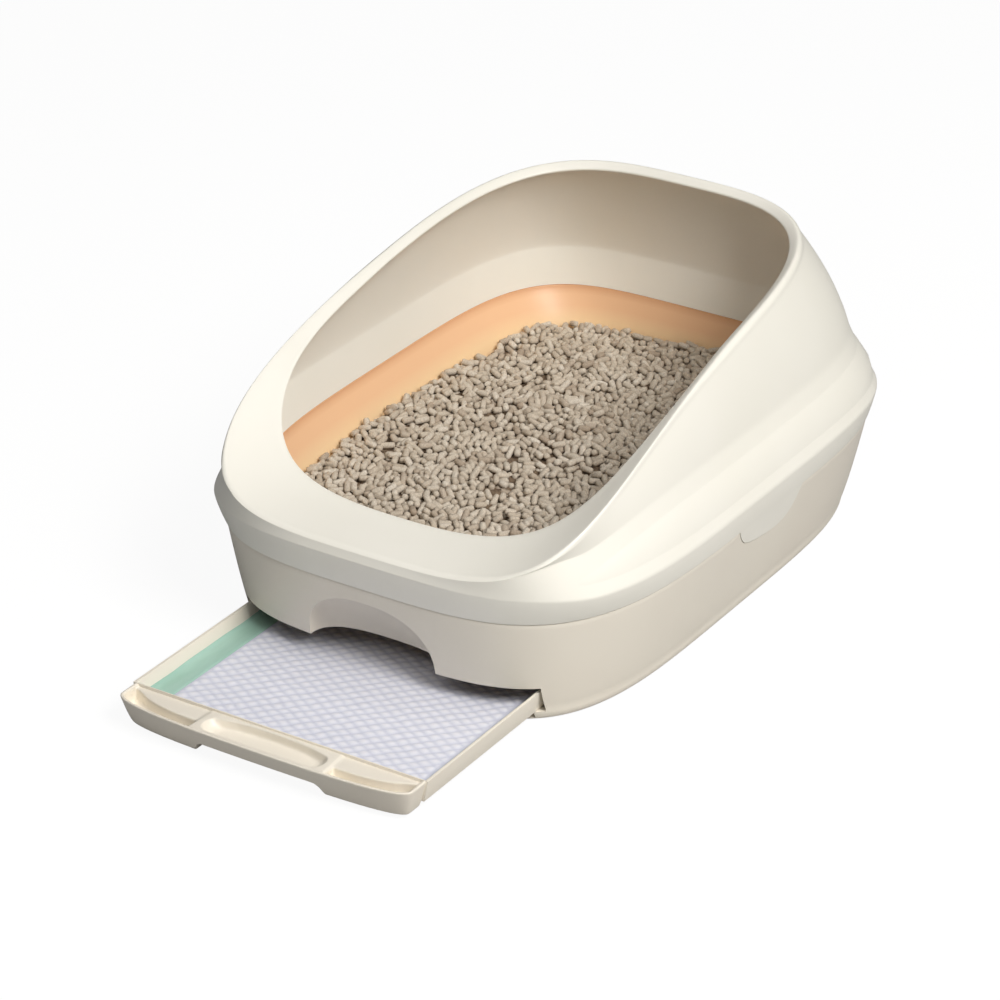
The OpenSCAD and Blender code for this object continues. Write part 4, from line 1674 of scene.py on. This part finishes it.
    def pour(
        self, name: str, middles: np.ndarray, way: np.ndarray, half: np.ndarray, material: bpy.types.Material
    ) -> bpy.types.Object:
        """Make one piece of pellets from their places.

        Args:
            name: the piece's name.
            middles: middles of the pellets.
            way: their directions.
            half: half lengths of their inner lines.
            material: the pellets' material.

        Returns:
            The realised piece.
        """
        rng = np.random.default_rng(self.seed + len(middles))
        piece = build_mesh(name, middles, [])
        mesh = piece.data
        angles = np.array([Vector(w).to_track_quat("Z", "Y").to_euler()[:] for w in way])
        length = (2 * half + 1.5 * self.radius) * MM
        girth = rng.uniform(0.93, 1.07, len(half))
        for label, kind, values in (
            ("turn", "FLOAT_VECTOR", angles),
            ("size", "FLOAT_VECTOR", np.column_stack([girth, girth, length])),
        ):
            held = mesh.attributes.new(label, kind, "POINT")
            held.data.foreach_set("vector", values.astype(np.float32).ravel())
        kinds = rng.integers(0, self.kinds, len(half)).astype(np.int32)
        mesh.attributes.new("kind", "INT", "POINT").data.foreach_set("value", kinds)
        tone = np.clip(rng.normal(0.5, 0.2, len(half)), 0, 1).astype(np.float32)
        mesh.attributes.new("tone", "FLOAT", "POINT").data.foreach_set("value", tone)
        change = piece.modifiers.new("pellets", "NODES")
        change.node_group = self.pellet_tree(material)
        for socket in change.node_group.interface.items_tree:
            if socket.item_type == "SOCKET" and socket.in_out == "INPUT" and socket.name == "Pellet Radius":
                change[socket.identifier] = self.radius * MM
        bake_modifiers(piece)
        smooth_by_angle(piece, 70)
        return piece

    def build(self, pellet: bpy.types.Material, gap_shade: bpy.types.Material) -> None:
        """Put the litter together and dress it.

        Args:
            pellet: the pellets' material.
            gap_shade: the dark material of what shows between them, painted shade in the gaps.
        """
        bed = self.bed()
        dress(bed, gap_shade, Body.PAN, Slot.PELLETS, "litter_bed")
        middles, way, half = self.scatter()
        self.settle(middles, way, half)
        third = np.digitize(middles[:, 1], (-75.0, 75.0))
        for number, name in enumerate(("pellets_front", "pellets_middle", "pellets_back")):
            pick = third == number
            piece = self.pour(name, middles[pick], way[pick], half[pick], pellet)
            dress(piece, pellet, Body.PAN, Slot.PELLETS)


# --- the drawer -----------------------------------------------------------------------------------


@dataclass
class Drawer:
    """The pull-out tray with its bowed, leaning front panel."""

    sizes: BoxSizes = SIZES
    panel_low: float = 4.0
    bow_steps: int = 96
    grip_half_width: float = 63.0
    floor_thick: float = 2.0
    panel_inset: float = 1.4
    panel_narrowing: float = 7.0
    panel_lean: float = 9.5
    bow_power: float = 2.9
    ledge_drop: float = 2.5
    tray_wall: float = 2.4
    tray_lean: float = 3.6
    tray_corner: float = 5.0

    def panel_half(self) -> float:
        """Return half the width of the panel's rim."""
        return self.sizes.drawer_half_width - self.panel_inset

    def bow(self, level: float, inset: float) -> np.ndarray:
        """Return the panel's front line.

        Args:
            level: 0 at the rim and 1 at the lower edge.
            inset: how far it is drawn in.

        Returns:
            The line's points, from the left end to the right.
        """
        s = self.sizes
        half = self.panel_half() - self.panel_narrowing * level - inset
        front = s.drawer_front + self.panel_lean * level + inset
        end = s.drawer_front + 18.7 + 4 * level
        x = -half * np.cos(np.linspace(0, math.pi, self.bow_steps + 1))
        bulge = np.maximum(0, 1 - (np.abs(x) / half) ** self.bow_power) ** (1 / self.bow_power)
        return np.column_stack([x, end + (front - end) * bulge])

    def panel(self) -> bpy.types.Object:
        """Loft the panel's block.

        Returns:
            The block.
        """
        s = self.sizes
        rings = []
        for share in np.linspace(0, 1, 12):
            height = self.panel_low + share * (s.drawer_rim - self.panel_low)
            level = 1 - share**0.8 if share < 1 else 0.0
            width = self.panel_half() - self.panel_narrowing * level
            back = [[width, s.ledge_back()], [-width, s.ledge_back()]]
            rings.append(at_height(np.concatenate([self.bow(level, 0), back]), height))
        return loft("panel_tool", rings, ring_closed=False)

    def trough(self) -> bpy.types.Object:
        """Loft the space between the panel's rim and the cross ledge.

        Returns:
            The tool's solid.
        """
        s, t = self.sizes, 2.8
        w, y = self.panel_half() - t - 0.65, s.drawer_front
        back = np.array([
            (w, y + 31), (w - 3, y + 29.8), (w - 7, y + 28.2), (w - 12, y + 25.8), (w - 17, y + 23.2),
            (w - 24, y + 21.0), (w - 31, y + 19.4), (w - 39, y + 18.0), (w - 47, y + 17.1),
            (w - 57, y + 16.6), (w - 68, y + 16.5),
        ])
        left = back[::-1] * np.array([-1, 1])
        rings = [
            at_height(np.concatenate([self.bow(level, t), back, left]), height)
            for level, height in ((0.4, 15.5), (0.2, s.drawer_rim - 8), (0.0, s.drawer_rim + 1))
        ]
        return loft("trough_tool", rings, ring_closed=False)

    def island(self) -> bpy.types.Object:
        """Make the raised part round the finger pocket.

        Returns:
            The part's solid.
        """
        s, g = self.sizes, self.grip_half_width
        top, ledge = s.drawer_rim - 1.2, s.drawer_rim - self.ledge_drop
        front, back = s.drawer_front + 2, s.ledge_back() - 0.4
        side = np.array([(-g, front + 4), (g, front + 4), (g, back), (-g, back)])
        brow = np.array([(-g + 1, front), (g - 1, front), (g - 4, back - 1), (-g + 4, back - 1)])
        rings = [at_height(side, 14.0), at_height(side, ledge), at_height(brow, top)]
        return loft("island_tool", rings, ring_closed=False)

    @staticmethod
    def pocket_ring(
        half: float, front: float, back: float, middle: float, radius: float, height: float
    ) -> np.ndarray:
        """Return one level of the finger pocket: straight front, bowed back and round ends.

        Args:
            half: half its width.
            front: where its front is, along y.
            back: where its back is beside the ends.
            middle: where its back is in the middle of the bow.
            radius: the radius of its ends.
            height: the level's height.

        Returns:
            The level's points.
        """

        def arc(centre_x: float, centre_y: float, first: float, last: float) -> np.ndarray:
            """Return an arc of the pocket's corner, between two angles in degrees."""
            turn = np.radians(np.linspace(first, last, 10))
            return np.column_stack([centre_x + radius * np.cos(turn), centre_y + radius * np.sin(turn)])

        share = np.linspace(0.62, -0.62, 13)
        bowed = np.column_stack([share * half, back + (middle - back) * (1 - share**2)])
        line = np.concatenate(
            [
                arc(-half + radius, front + radius, 180, 270),
                arc(half - radius, front + radius, 270, 360),
                arc(half - radius, back - radius, 0, 65),
                bowed,
                arc(-half + radius, back - radius, 115, 180),
            ]
        )
        return at_height(line, height)

    def pocket(self) -> bpy.types.Object:
        """Loft the finger pocket.

        Returns:
            The tool's solid.
        """
        y, top = self.sizes.drawer_front, self.sizes.drawer_rim + 1
        rings = [
            self.pocket_ring(44, y + 11, y + 25.5, y + 29.5, 6.5, 19.6),
            self.pocket_ring(47.5, y + 9.5, y + 25.7, y + 29.8, 7, 20.2),
            self.pocket_ring(51, y + 8.2, y + 25.9, y + 30.1, 7.8, 22.0),
            self.pocket_ring(54.5, y + 6.8, y + 26.2, y + 30.4, 8.5, 25.5),
            self.pocket_ring(56.5, y + 5.8, y + 27, y + 31.2, 9, top),
        ]
        return loft("pocket_tool", rings, ring_closed=False)

    def tray(
        self, half: float, low_half: float, front: float, back: float, low: float, high: float
    ) -> bpy.types.Object:
        """Loft a tray block with round rear corners and walls that lean out.

        Args:
            half: half its width at the top.
            low_half: half its width at the bottom.
            front: where it starts, along y.
            back: where it ends.
            low: the height of its underside.
            high: the height of its top.

        Returns:
            The block.
        """
        turn, radius = np.radians(np.linspace(0, 90, 10)), self.tray_corner
        rings = []
        for w, z in ((low_half, low), (half, high)):
            across, along = w - radius + radius * np.cos(turn), back - radius + radius * np.sin(turn)
            right = np.column_stack([across, along])
            left = right[::-1] * np.array([-1, 1])
            line = np.concatenate([[[-w, front], [w, front]], right, left])
            rings.append(at_height(line, z))
        return loft("tray_tool", rings, ring_closed=False)

    def build(self, material: bpy.types.Material) -> None:
        """Put the drawer together and dress it.

        Args:
            material: the cream plastic.
        """
        s = self.sizes
        end, ledge = self.panel_half(), s.drawer_rim - self.ledge_drop
        panel = self.panel()
        near, far = s.drawer_front + 15, s.drawer_front + 45
        step = block("step_tool", (-end + 3.6, near, ledge), (end - 3.6, far, 40))
        combine(panel, step, "DIFFERENCE")
        combine(panel, self.trough(), "DIFFERENCE")
        combine(panel, self.island(), "UNION")
        lift_line = [(-61, 0), (61, 0), (58.5, 6), (56, 11), (52, 13.5), (-52, 13.5), (-56, 11), (-58.5, 6)]
        back = s.ledge_back() - 8
        rings = [np.array([(x, y, z) for x, z in lift_line]) for y in (back, back - 60)]
        lift = loft("lift_tool", rings, ring_closed=False)
        outward(lift)
        combine(panel, lift, "DIFFERENCE")
        combine(panel, self.pocket(), "DIFFERENCE")
        self.soften(panel)
        panel.name = "drawer_panel"
        dress(panel, material, Body.DRAWER, Slot.SHELL, "drawer")
        low, half = s.sill + s.seat, s.drawer_half_width
        front, back = s.ledge_back(), s.ledge_back() + s.drawer_length
        tray = self.tray(half, half - self.tray_lean, front - 1, back, low, s.drawer_rim)
        hollow = self.tray(
            half - self.tray_wall, half - 2 * self.tray_wall, front, back - self.tray_wall,
            low + self.floor_thick, s.drawer_rim + 0.01,
        )
        combine(tray, hollow, "DIFFERENCE")
        tray.name = "drawer_tray"
        edge = tray.modifiers.new("edge", "BEVEL")
        edge.width = 0.7 * MM
        edge.segments = 3
        edge.limit_method = "ANGLE"
        edge.angle_limit = math.radians(50)
        bake_modifiers(tray)
        smooth_by_angle(tray, 40)
        dress(tray, material, Body.DRAWER, Slot.SHELL)

    @staticmethod
    def soften(thing: bpy.types.Object) -> None:
        """Give a cut solid the small rounded edges of a moulding.

        Args:
            thing: the solid, changed in place.
        """
        grid = thing.modifiers.new("skin", "REMESH")
        grid.mode = "VOXEL"
        grid.voxel_size = 0.72 * MM
        grid.adaptivity = 0.0
        ease = thing.modifiers.new("ease", "CORRECTIVE_SMOOTH")
        ease.use_only_smooth = True
        ease.iterations = 5
        ease.factor = 0.5
        bake_modifiers(thing)
        smooth_by_angle(thing, 60)


# --- the absorbent pad ----------------------------------------------------------------------------


@dataclass
class AbsorbentPad:
    """The pad in the drawer: green film, fluff and an embossed white cover sheet."""

    sizes: BoxSizes = SIZES
    side_shift: float = 4.5
    cell_long: float = 8.6
    cell_wide: float = 8.2
    puff_height: float = 0.9
    film_inset: float = 4.4
    film_thick: float = 0.12
    film_rows: int = 60
    mesh_step: float = 1.35
    soft_edge: float = 4.0
    film_seed: int = 3

    def span(self) -> tuple[float, float, float, float]:
        """Return the cover sheet's left, right, front and back edges.

        Returns:
            The four places, in millimetres.
        """
        s = self.sizes
        half, front = s.drawer_half_width - 19.5, s.ledge_back() + 0.8
        return self.side_shift - half, self.side_shift + half, front, front + s.drawer_length - 6

    def floor(self) -> float:
        """Return the height that the pad lies on."""
        return self.sizes.sill + self.sizes.seat + 2.1

    def film(self) -> bpy.types.Object:
        """Make the film: flat under the fluff, its borders standing up beside it.

        Returns:
            The finished piece.
        """
        s = self.sizes
        left, right, front, back = self.span()
        edge, base = s.drawer_half_width - self.film_inset, self.floor() + 0.25
        profile = [
            (-edge - 0.3, 5.2), (-edge + 0.2, 4.0), (-edge + 2.0, 3.0), (left - 9, 2.4), (left - 4, 2.4),
            (left - 1.6, 2.1), (left - 0.4, 0.4), (left + 3, 0.0), (right - 3, 0.0), (right + 0.4, 0.4),
            (right + 1.6, 2.1), (right + 4, 2.4), (edge - 3, 2.8), (edge - 0.2, 4.0), (edge + 0.2, 5.0),
        ]
        path = np.array(rounded_path([np.array([x, base + rise]) for x, rise in profile]))
        rows = np.linspace(front, back, self.film_rows)
        phase = np.random.default_rng(self.film_seed).uniform(0, 6.28, 3)
        points, faces, count = [], [], len(path)
        side = np.clip((np.abs(path[:, 0] - self.side_shift) - 118) / 12, 0, 1)
        for y in rows:
            wave = 0.35 * np.sin(y / 17 + phase[0]) + 0.25 * np.sin(y / 7.3 + phase[1])
            across = path[:, 0] - np.sign(path[:, 0]) * 0.3 * side * abs(wave)
            points.append(np.column_stack([across, np.full(count, y), path[:, 1] + side * wave * 0.8]))
        for row in range(len(rows) - 1):
            for i in range(count - 1):
                a = row * count + i
                faces.append((a, a + 1, a + count + 1, a + count))
        film = build_mesh("pad_film", np.concatenate(points), faces)
        thick = film.modifiers.new("thickness", "SOLIDIFY")
        thick.thickness = self.film_thick * MM
        thick.offset = 0
        bake_modifiers(film)
        smooth_by_angle(film, 60)
        return film

    def fluff(self) -> bpy.types.Object:
        """Make the fluff core with soft rounded edges.

        Returns:
            The finished piece.
        """
        left, right, front, back = self.span()
        base = self.floor() + 0.5
        rings = []
        for share in np.linspace(-1, 1, 9):
            inset = 1.2 * (1 - math.sqrt(max(0.0, 1 - share**2)))
            x0, x1, y0, y1 = left + 0.6 + inset, right - 0.6 - inset, front + 1.2 + inset, back - 1.2 - inset
            line = self.rounded_box(x0, x1, y0, y1, 3.0)
            rings.append(at_height(line, base + 0.95 * (share + 1)))
        fluff = loft("pad_fluff", rings, ring_closed=False)
        smooth_by_angle(fluff, 50)
        return fluff

    @staticmethod
    def rounded_box(x0: float, x1: float, y0: float, y1: float, radius: float) -> np.ndarray:
        """Return a rectangle with round corners, turning left.

        Args:
            x0: its left edge.
            x1: its right edge.
            y0: its front edge.
            y1: its back edge.
            radius: the radius of its corners.

        Returns:
            The points.
        """
        corners = ((x1, y0, -90), (x1, y1, 0), (x0, y1, 90), (x0, y0, 180))
        line = []
        for x, y, start in corners:
            middle_x = x - radius if x == x1 else x + radius
            middle_y = y - radius if y == y1 else y + radius
            for turn in np.radians(np.linspace(start, start + 90, 6)):
                line.append((middle_x + radius * math.cos(turn), middle_y + radius * math.sin(turn)))
        return np.array(line)

    def emboss_tree(self, material: bpy.types.Material) -> bpy.types.NodeTree:
        """Build the node tree that raises the sheet's quilted puffs between two sets of pressed lines.

        Args:
            material: the non-woven.

        Returns:
            The tree.
        """
        values = {
            "Cell Length": self.cell_long * MM,
            "Cell Width": self.cell_wide * MM,
            "Puff Height": self.puff_height * MM,
        }
        tree, start, finish = geometry_tree("quilted_sheet", values)
        nodes, join = tree.nodes, tree.links.new
        where, split = nodes.new("GeometryNodeInputPosition"), nodes.new("ShaderNodeSeparateXYZ")
        join(where.outputs[0], split.inputs[0])
        wobble = nodes.new("ShaderNodeTexNoise")
        wobble.inputs["Scale"].default_value = 60.0
        wobble.inputs["Detail"].default_value = 1.0
        join(where.outputs[0], wobble.inputs["Vector"])
        drift = maths(tree, "MULTIPLY", maths(tree, "SUBTRACT", wobble.outputs[0], 0.5), 0.004)
        heights = []
        for angle, cell in ((48.0, "Cell Length"), (-28.0, "Cell Width")):
            across = math.radians(angle + 90)
            reach_x = maths(tree, "MULTIPLY", split.outputs[0], math.cos(across))
            reach_y = maths(tree, "MULTIPLY", split.outputs[1], math.sin(across))
            reach = maths(tree, "ADD", maths(tree, "ADD", reach_x, reach_y), drift)
            phase = maths(tree, "MULTIPLY", maths(tree, "DIVIDE", reach, start.outputs[cell]), math.pi)
            wave = maths(tree, "ABSOLUTE", maths(tree, "SINE", phase))
            heights.append(maths(tree, "POWER", wave, 0.6))
        puff = maths(tree, "MULTIPLY", heights[0], heights[1])
        puff = maths(tree, "MULTIPLY", puff, named(tree, "free", "FLOAT").outputs[0])
        rise = nodes.new("ShaderNodeCombineXYZ")
        join(maths(tree, "MULTIPLY", puff, start.outputs["Puff Height"]), rise.inputs[2])
        move, keep = nodes.new("GeometryNodeSetPosition"), nodes.new("GeometryNodeStoreNamedAttribute")
        keep.data_type, keep.domain = "FLOAT", "POINT"
        keep.inputs["Name"].default_value = "puff"
        paint = nodes.new("GeometryNodeSetMaterial")
        paint.inputs["Material"].default_value = material
        real = nodes.new("GeometryNodeRealizeInstances")
        join(start.outputs["Geometry"], keep.inputs["Geometry"])
        join(puff, keep.inputs["Value"])
        join(keep.outputs[0], move.inputs["Geometry"])
        join(rise.outputs[0], move.inputs["Offset"])
        chain = (move, real, paint, finish)
        for first, second in zip(chain, chain[1:]):
            join(first.outputs[0], second.inputs[0])
        return tree

    def topsheet(self, material: bpy.types.Material) -> bpy.types.Object:
        """Make the quilted cover sheet.

        Args:
            material: the non-woven.

        Returns:
            The finished sheet.
        """
        left, right, front, back = self.span()
        base = self.floor() + 2.5
        columns, rows = int((right - left) / self.mesh_step), int((back - front) / self.mesh_step)
        x = np.linspace(left, right, columns + 1)
        y = np.linspace(front + 0.3, back - 0.3, rows + 1)
        grid_x, grid_y = np.meshgrid(x, y)
        rim = np.minimum.reduce([grid_x - left, right - grid_x, grid_y - front, back - grid_y])
        soft = np.clip(rim / self.soft_edge, 0, 1)
        soft = soft * soft * (3 - 2 * soft)
        slow = 0.35 * np.sin(grid_x / 41 + 1.3) * np.sin(grid_y / 53 + 0.4)
        z = base + 0.15 + soft * (0.35 + slow)
        points = np.stack([grid_x, grid_y, z], -1).reshape(-1, 3)
        wide = columns + 1
        faces = [
            (r * wide + c, r * wide + c + 1, (r + 1) * wide + c + 1, (r + 1) * wide + c)
            for r in range(rows) for c in range(columns)
        ]
        sheet = build_mesh("pad_cover_sheet", points, faces)
        free = sheet.data.attributes.new("free", "FLOAT", "POINT")
        free.data.foreach_set("value", soft.astype(np.float32).ravel())
        change = sheet.modifiers.new("quilting", "NODES")
        change.node_group = self.emboss_tree(material)
        bake_modifiers(sheet)
        sheet.data.shade_smooth()
        return sheet

    def build(self, film: bpy.types.Material, fluff: bpy.types.Material, cover: bpy.types.Material) -> None:
        """Put the pad together and dress it.

        Args:
            film: the green film.
            fluff: the pulp.
            cover: the non-woven.
        """
        left, right, front, back = self.span()
        under = self.film()
        dress(under, film, Body.DRAWER, Slot.FILM, "pad_backsheet")
        core = self.fluff()
        dress(core, fluff, Body.DRAWER, Slot.FLUFF, "pad_core")
        sheet = self.topsheet(cover)
        dress(sheet, cover, Body.DRAWER, Slot.TOPSHEET, "pad_topsheet")


# --- floor, light and camera ----------------------------------------------------------------------


@dataclass
class Studio:
    """The pale floor, soft lights and the camera at the photographed angle."""

    azimuth: float = 32.61
    elevation: float = 27.46
    distance: float = 3131.66
    focal_pixels: float = 3835.46
    target: Place = (-20.0, -45.89, 68.18)
    picture_pixels: int = 1000
    sensor: float = 36.0
    floor_half: float = 12000.0
    paper_glow: float = 1.16
    glow_share: float = 0.8

    def floor(self) -> bpy.types.Object:
        """Lay a wide pale floor that keeps a soft shadow.

        Returns:
            The floor.
        """
        corners = np.array([(-1, -1, 0), (1, -1, 0), (1, 1, 0), (-1, 1, 0)]) * self.floor_half
        plane = build_mesh("studio_floor", corners, [(0, 1, 2, 3)])
        bench = NodeBench("studio_paper")
        bench.shade(Base_Color=(0.5, 0.5, 0.5, 1), Roughness=0.9, Specular_IOR_Level=0.1)
        glow = bench.add("ShaderNodeEmission", Strength=self.paper_glow)
        path, mix = bench.add("ShaderNodeLightPath"), bench.add("ShaderNodeMixShader")
        most = bench.add("ShaderNodeMath", operation="MULTIPLY")
        most.inputs[1].default_value = self.glow_share
        bench.join(path, "Is Camera Ray", most, 0)
        bench.join(most, 0, mix, 0)
        bench.join(bench.shader, "BSDF", mix, 1)
        bench.join(glow, "Emission", mix, 2)
        bench.join(mix, "Shader", bench.output, "Surface")
        plane.data.materials.append(bench.material)
        return plane

    def world(self) -> None:
        """Light the world softly and show it white to the camera."""
        world = bpy.data.worlds.new("studio_world")
        bpy.context.scene.world = world
        world.use_nodes = True
        tree = world.node_tree
        tree.nodes.clear()
        output = tree.nodes.new("ShaderNodeOutputWorld")
        soft, white = tree.nodes.new("ShaderNodeBackground"), tree.nodes.new("ShaderNodeBackground")
        soft.inputs["Color"].default_value = (0.92, 0.96, 1.0, 1)
        soft.inputs["Strength"].default_value = 0.075
        white.inputs["Strength"].default_value = 1.0
        path, mix = tree.nodes.new("ShaderNodeLightPath"), tree.nodes.new("ShaderNodeMixShader")
        tree.links.new(path.outputs["Is Camera Ray"], mix.inputs[0])
        tree.links.new(soft.outputs[0], mix.inputs[1])
        tree.links.new(white.outputs[0], mix.inputs[2])
        tree.links.new(mix.outputs[0], output.inputs["Surface"])

    @staticmethod
    def softbox(name: str, place: Place, size: float, watts: float, colour: Place) -> None:
        """Hang an area light that looks at the box.

        Args:
            name: the light's name.
            place: where it hangs, in metres.
            size: its side, in metres.
            watts: its power.
            colour: its red, green and blue.
        """
        lamp = bpy.data.lights.new(name, "AREA")
        lamp.shape = "SQUARE"
        lamp.size = size
        lamp.energy = watts
        lamp.color = colour
        thing = bpy.data.objects.new(name, lamp)
        bpy.context.scene.collection.objects.link(thing)
        aim = Vector((0, -0.05, 0.12)) - Vector(place)
        thing.matrix_world = Matrix.Translation(place) @ aim.to_track_quat("-Z", "Y").to_matrix().to_4x4()

    def lights(self) -> None:
        """Hang the key light on the right, and weak ones behind it, high on the left and high in front."""
        self.softbox("side_light", (2.3, -1.0, 2.6), 1.4, 100.0, (1.0, 0.98, 0.95))
        self.softbox("far_light", (1.9, 0.2, 3.2), 1.4, 12.0, (1.0, 0.98, 0.95))
        self.softbox("left_light", (-0.9, 0.5, 3.2), 1.4, 8.0, (1.0, 0.98, 0.97))
        self.softbox("fill_light", (0.2, -2.2, 3.0), 1.6, 12.0, (1.0, 0.98, 0.96))

    def camera(self) -> bpy.types.Object:
        """Set the camera at the photographed angle.

        Returns:
            The camera.
        """
        a, e = math.radians(self.azimuth), math.radians(self.elevation)
        back = Vector((math.sin(a) * math.cos(e), -math.cos(a) * math.cos(e), math.sin(e)))
        right = Vector((math.cos(a), math.sin(a), 0))
        up = Vector((-math.sin(a) * math.sin(e), math.cos(a) * math.sin(e), math.cos(e)))
        place = (Vector(self.target) + back * self.distance) * MM
        lens = bpy.data.cameras.new("photo_camera")
        lens.sensor_width = self.sensor
        lens.lens = self.focal_pixels * self.sensor / self.picture_pixels
        lens.clip_start = 0.05
        lens.clip_end = 100.0
        camera = bpy.data.objects.new("photo_camera", lens)
        bpy.context.scene.collection.objects.link(camera)
        turn = Matrix((right, up, back)).transposed()
        camera.matrix_world = Matrix.Translation(place) @ turn.to_4x4()
        bpy.context.scene.camera = camera
        return camera


def plain(box: tuple) -> list[list[float]]:
    """Return a box as plain lists of numbers."""
    return [[float(value) for value in corner] for corner in box]


def main() -> None:
    """Build every piece in order."""
    logging.basicConfig(level=logging.INFO, format="%(name)s %(message)s")
    bpy.context.scene.view_settings.view_transform = "Standard"
    studio = Studio()
    studio.camera()
    studio.world()
    studio.lights()
    studio.floor()
    cream, orange = CREAM.make(), ORANGE.make()
    Tub().build(cream)
    RimCover().build(PALE_CREAM.make())
    LitterPan().build(orange)
    PelletBed().build(PressedPellet().make(), LITTER_GAP_SHADE.make())
    Drawer().build(cream)
    AbsorbentPad().build(GREEN_FILM.make(), FLUFF.make(), NonWoven().make())


if __name__ == "__main__":
    main()
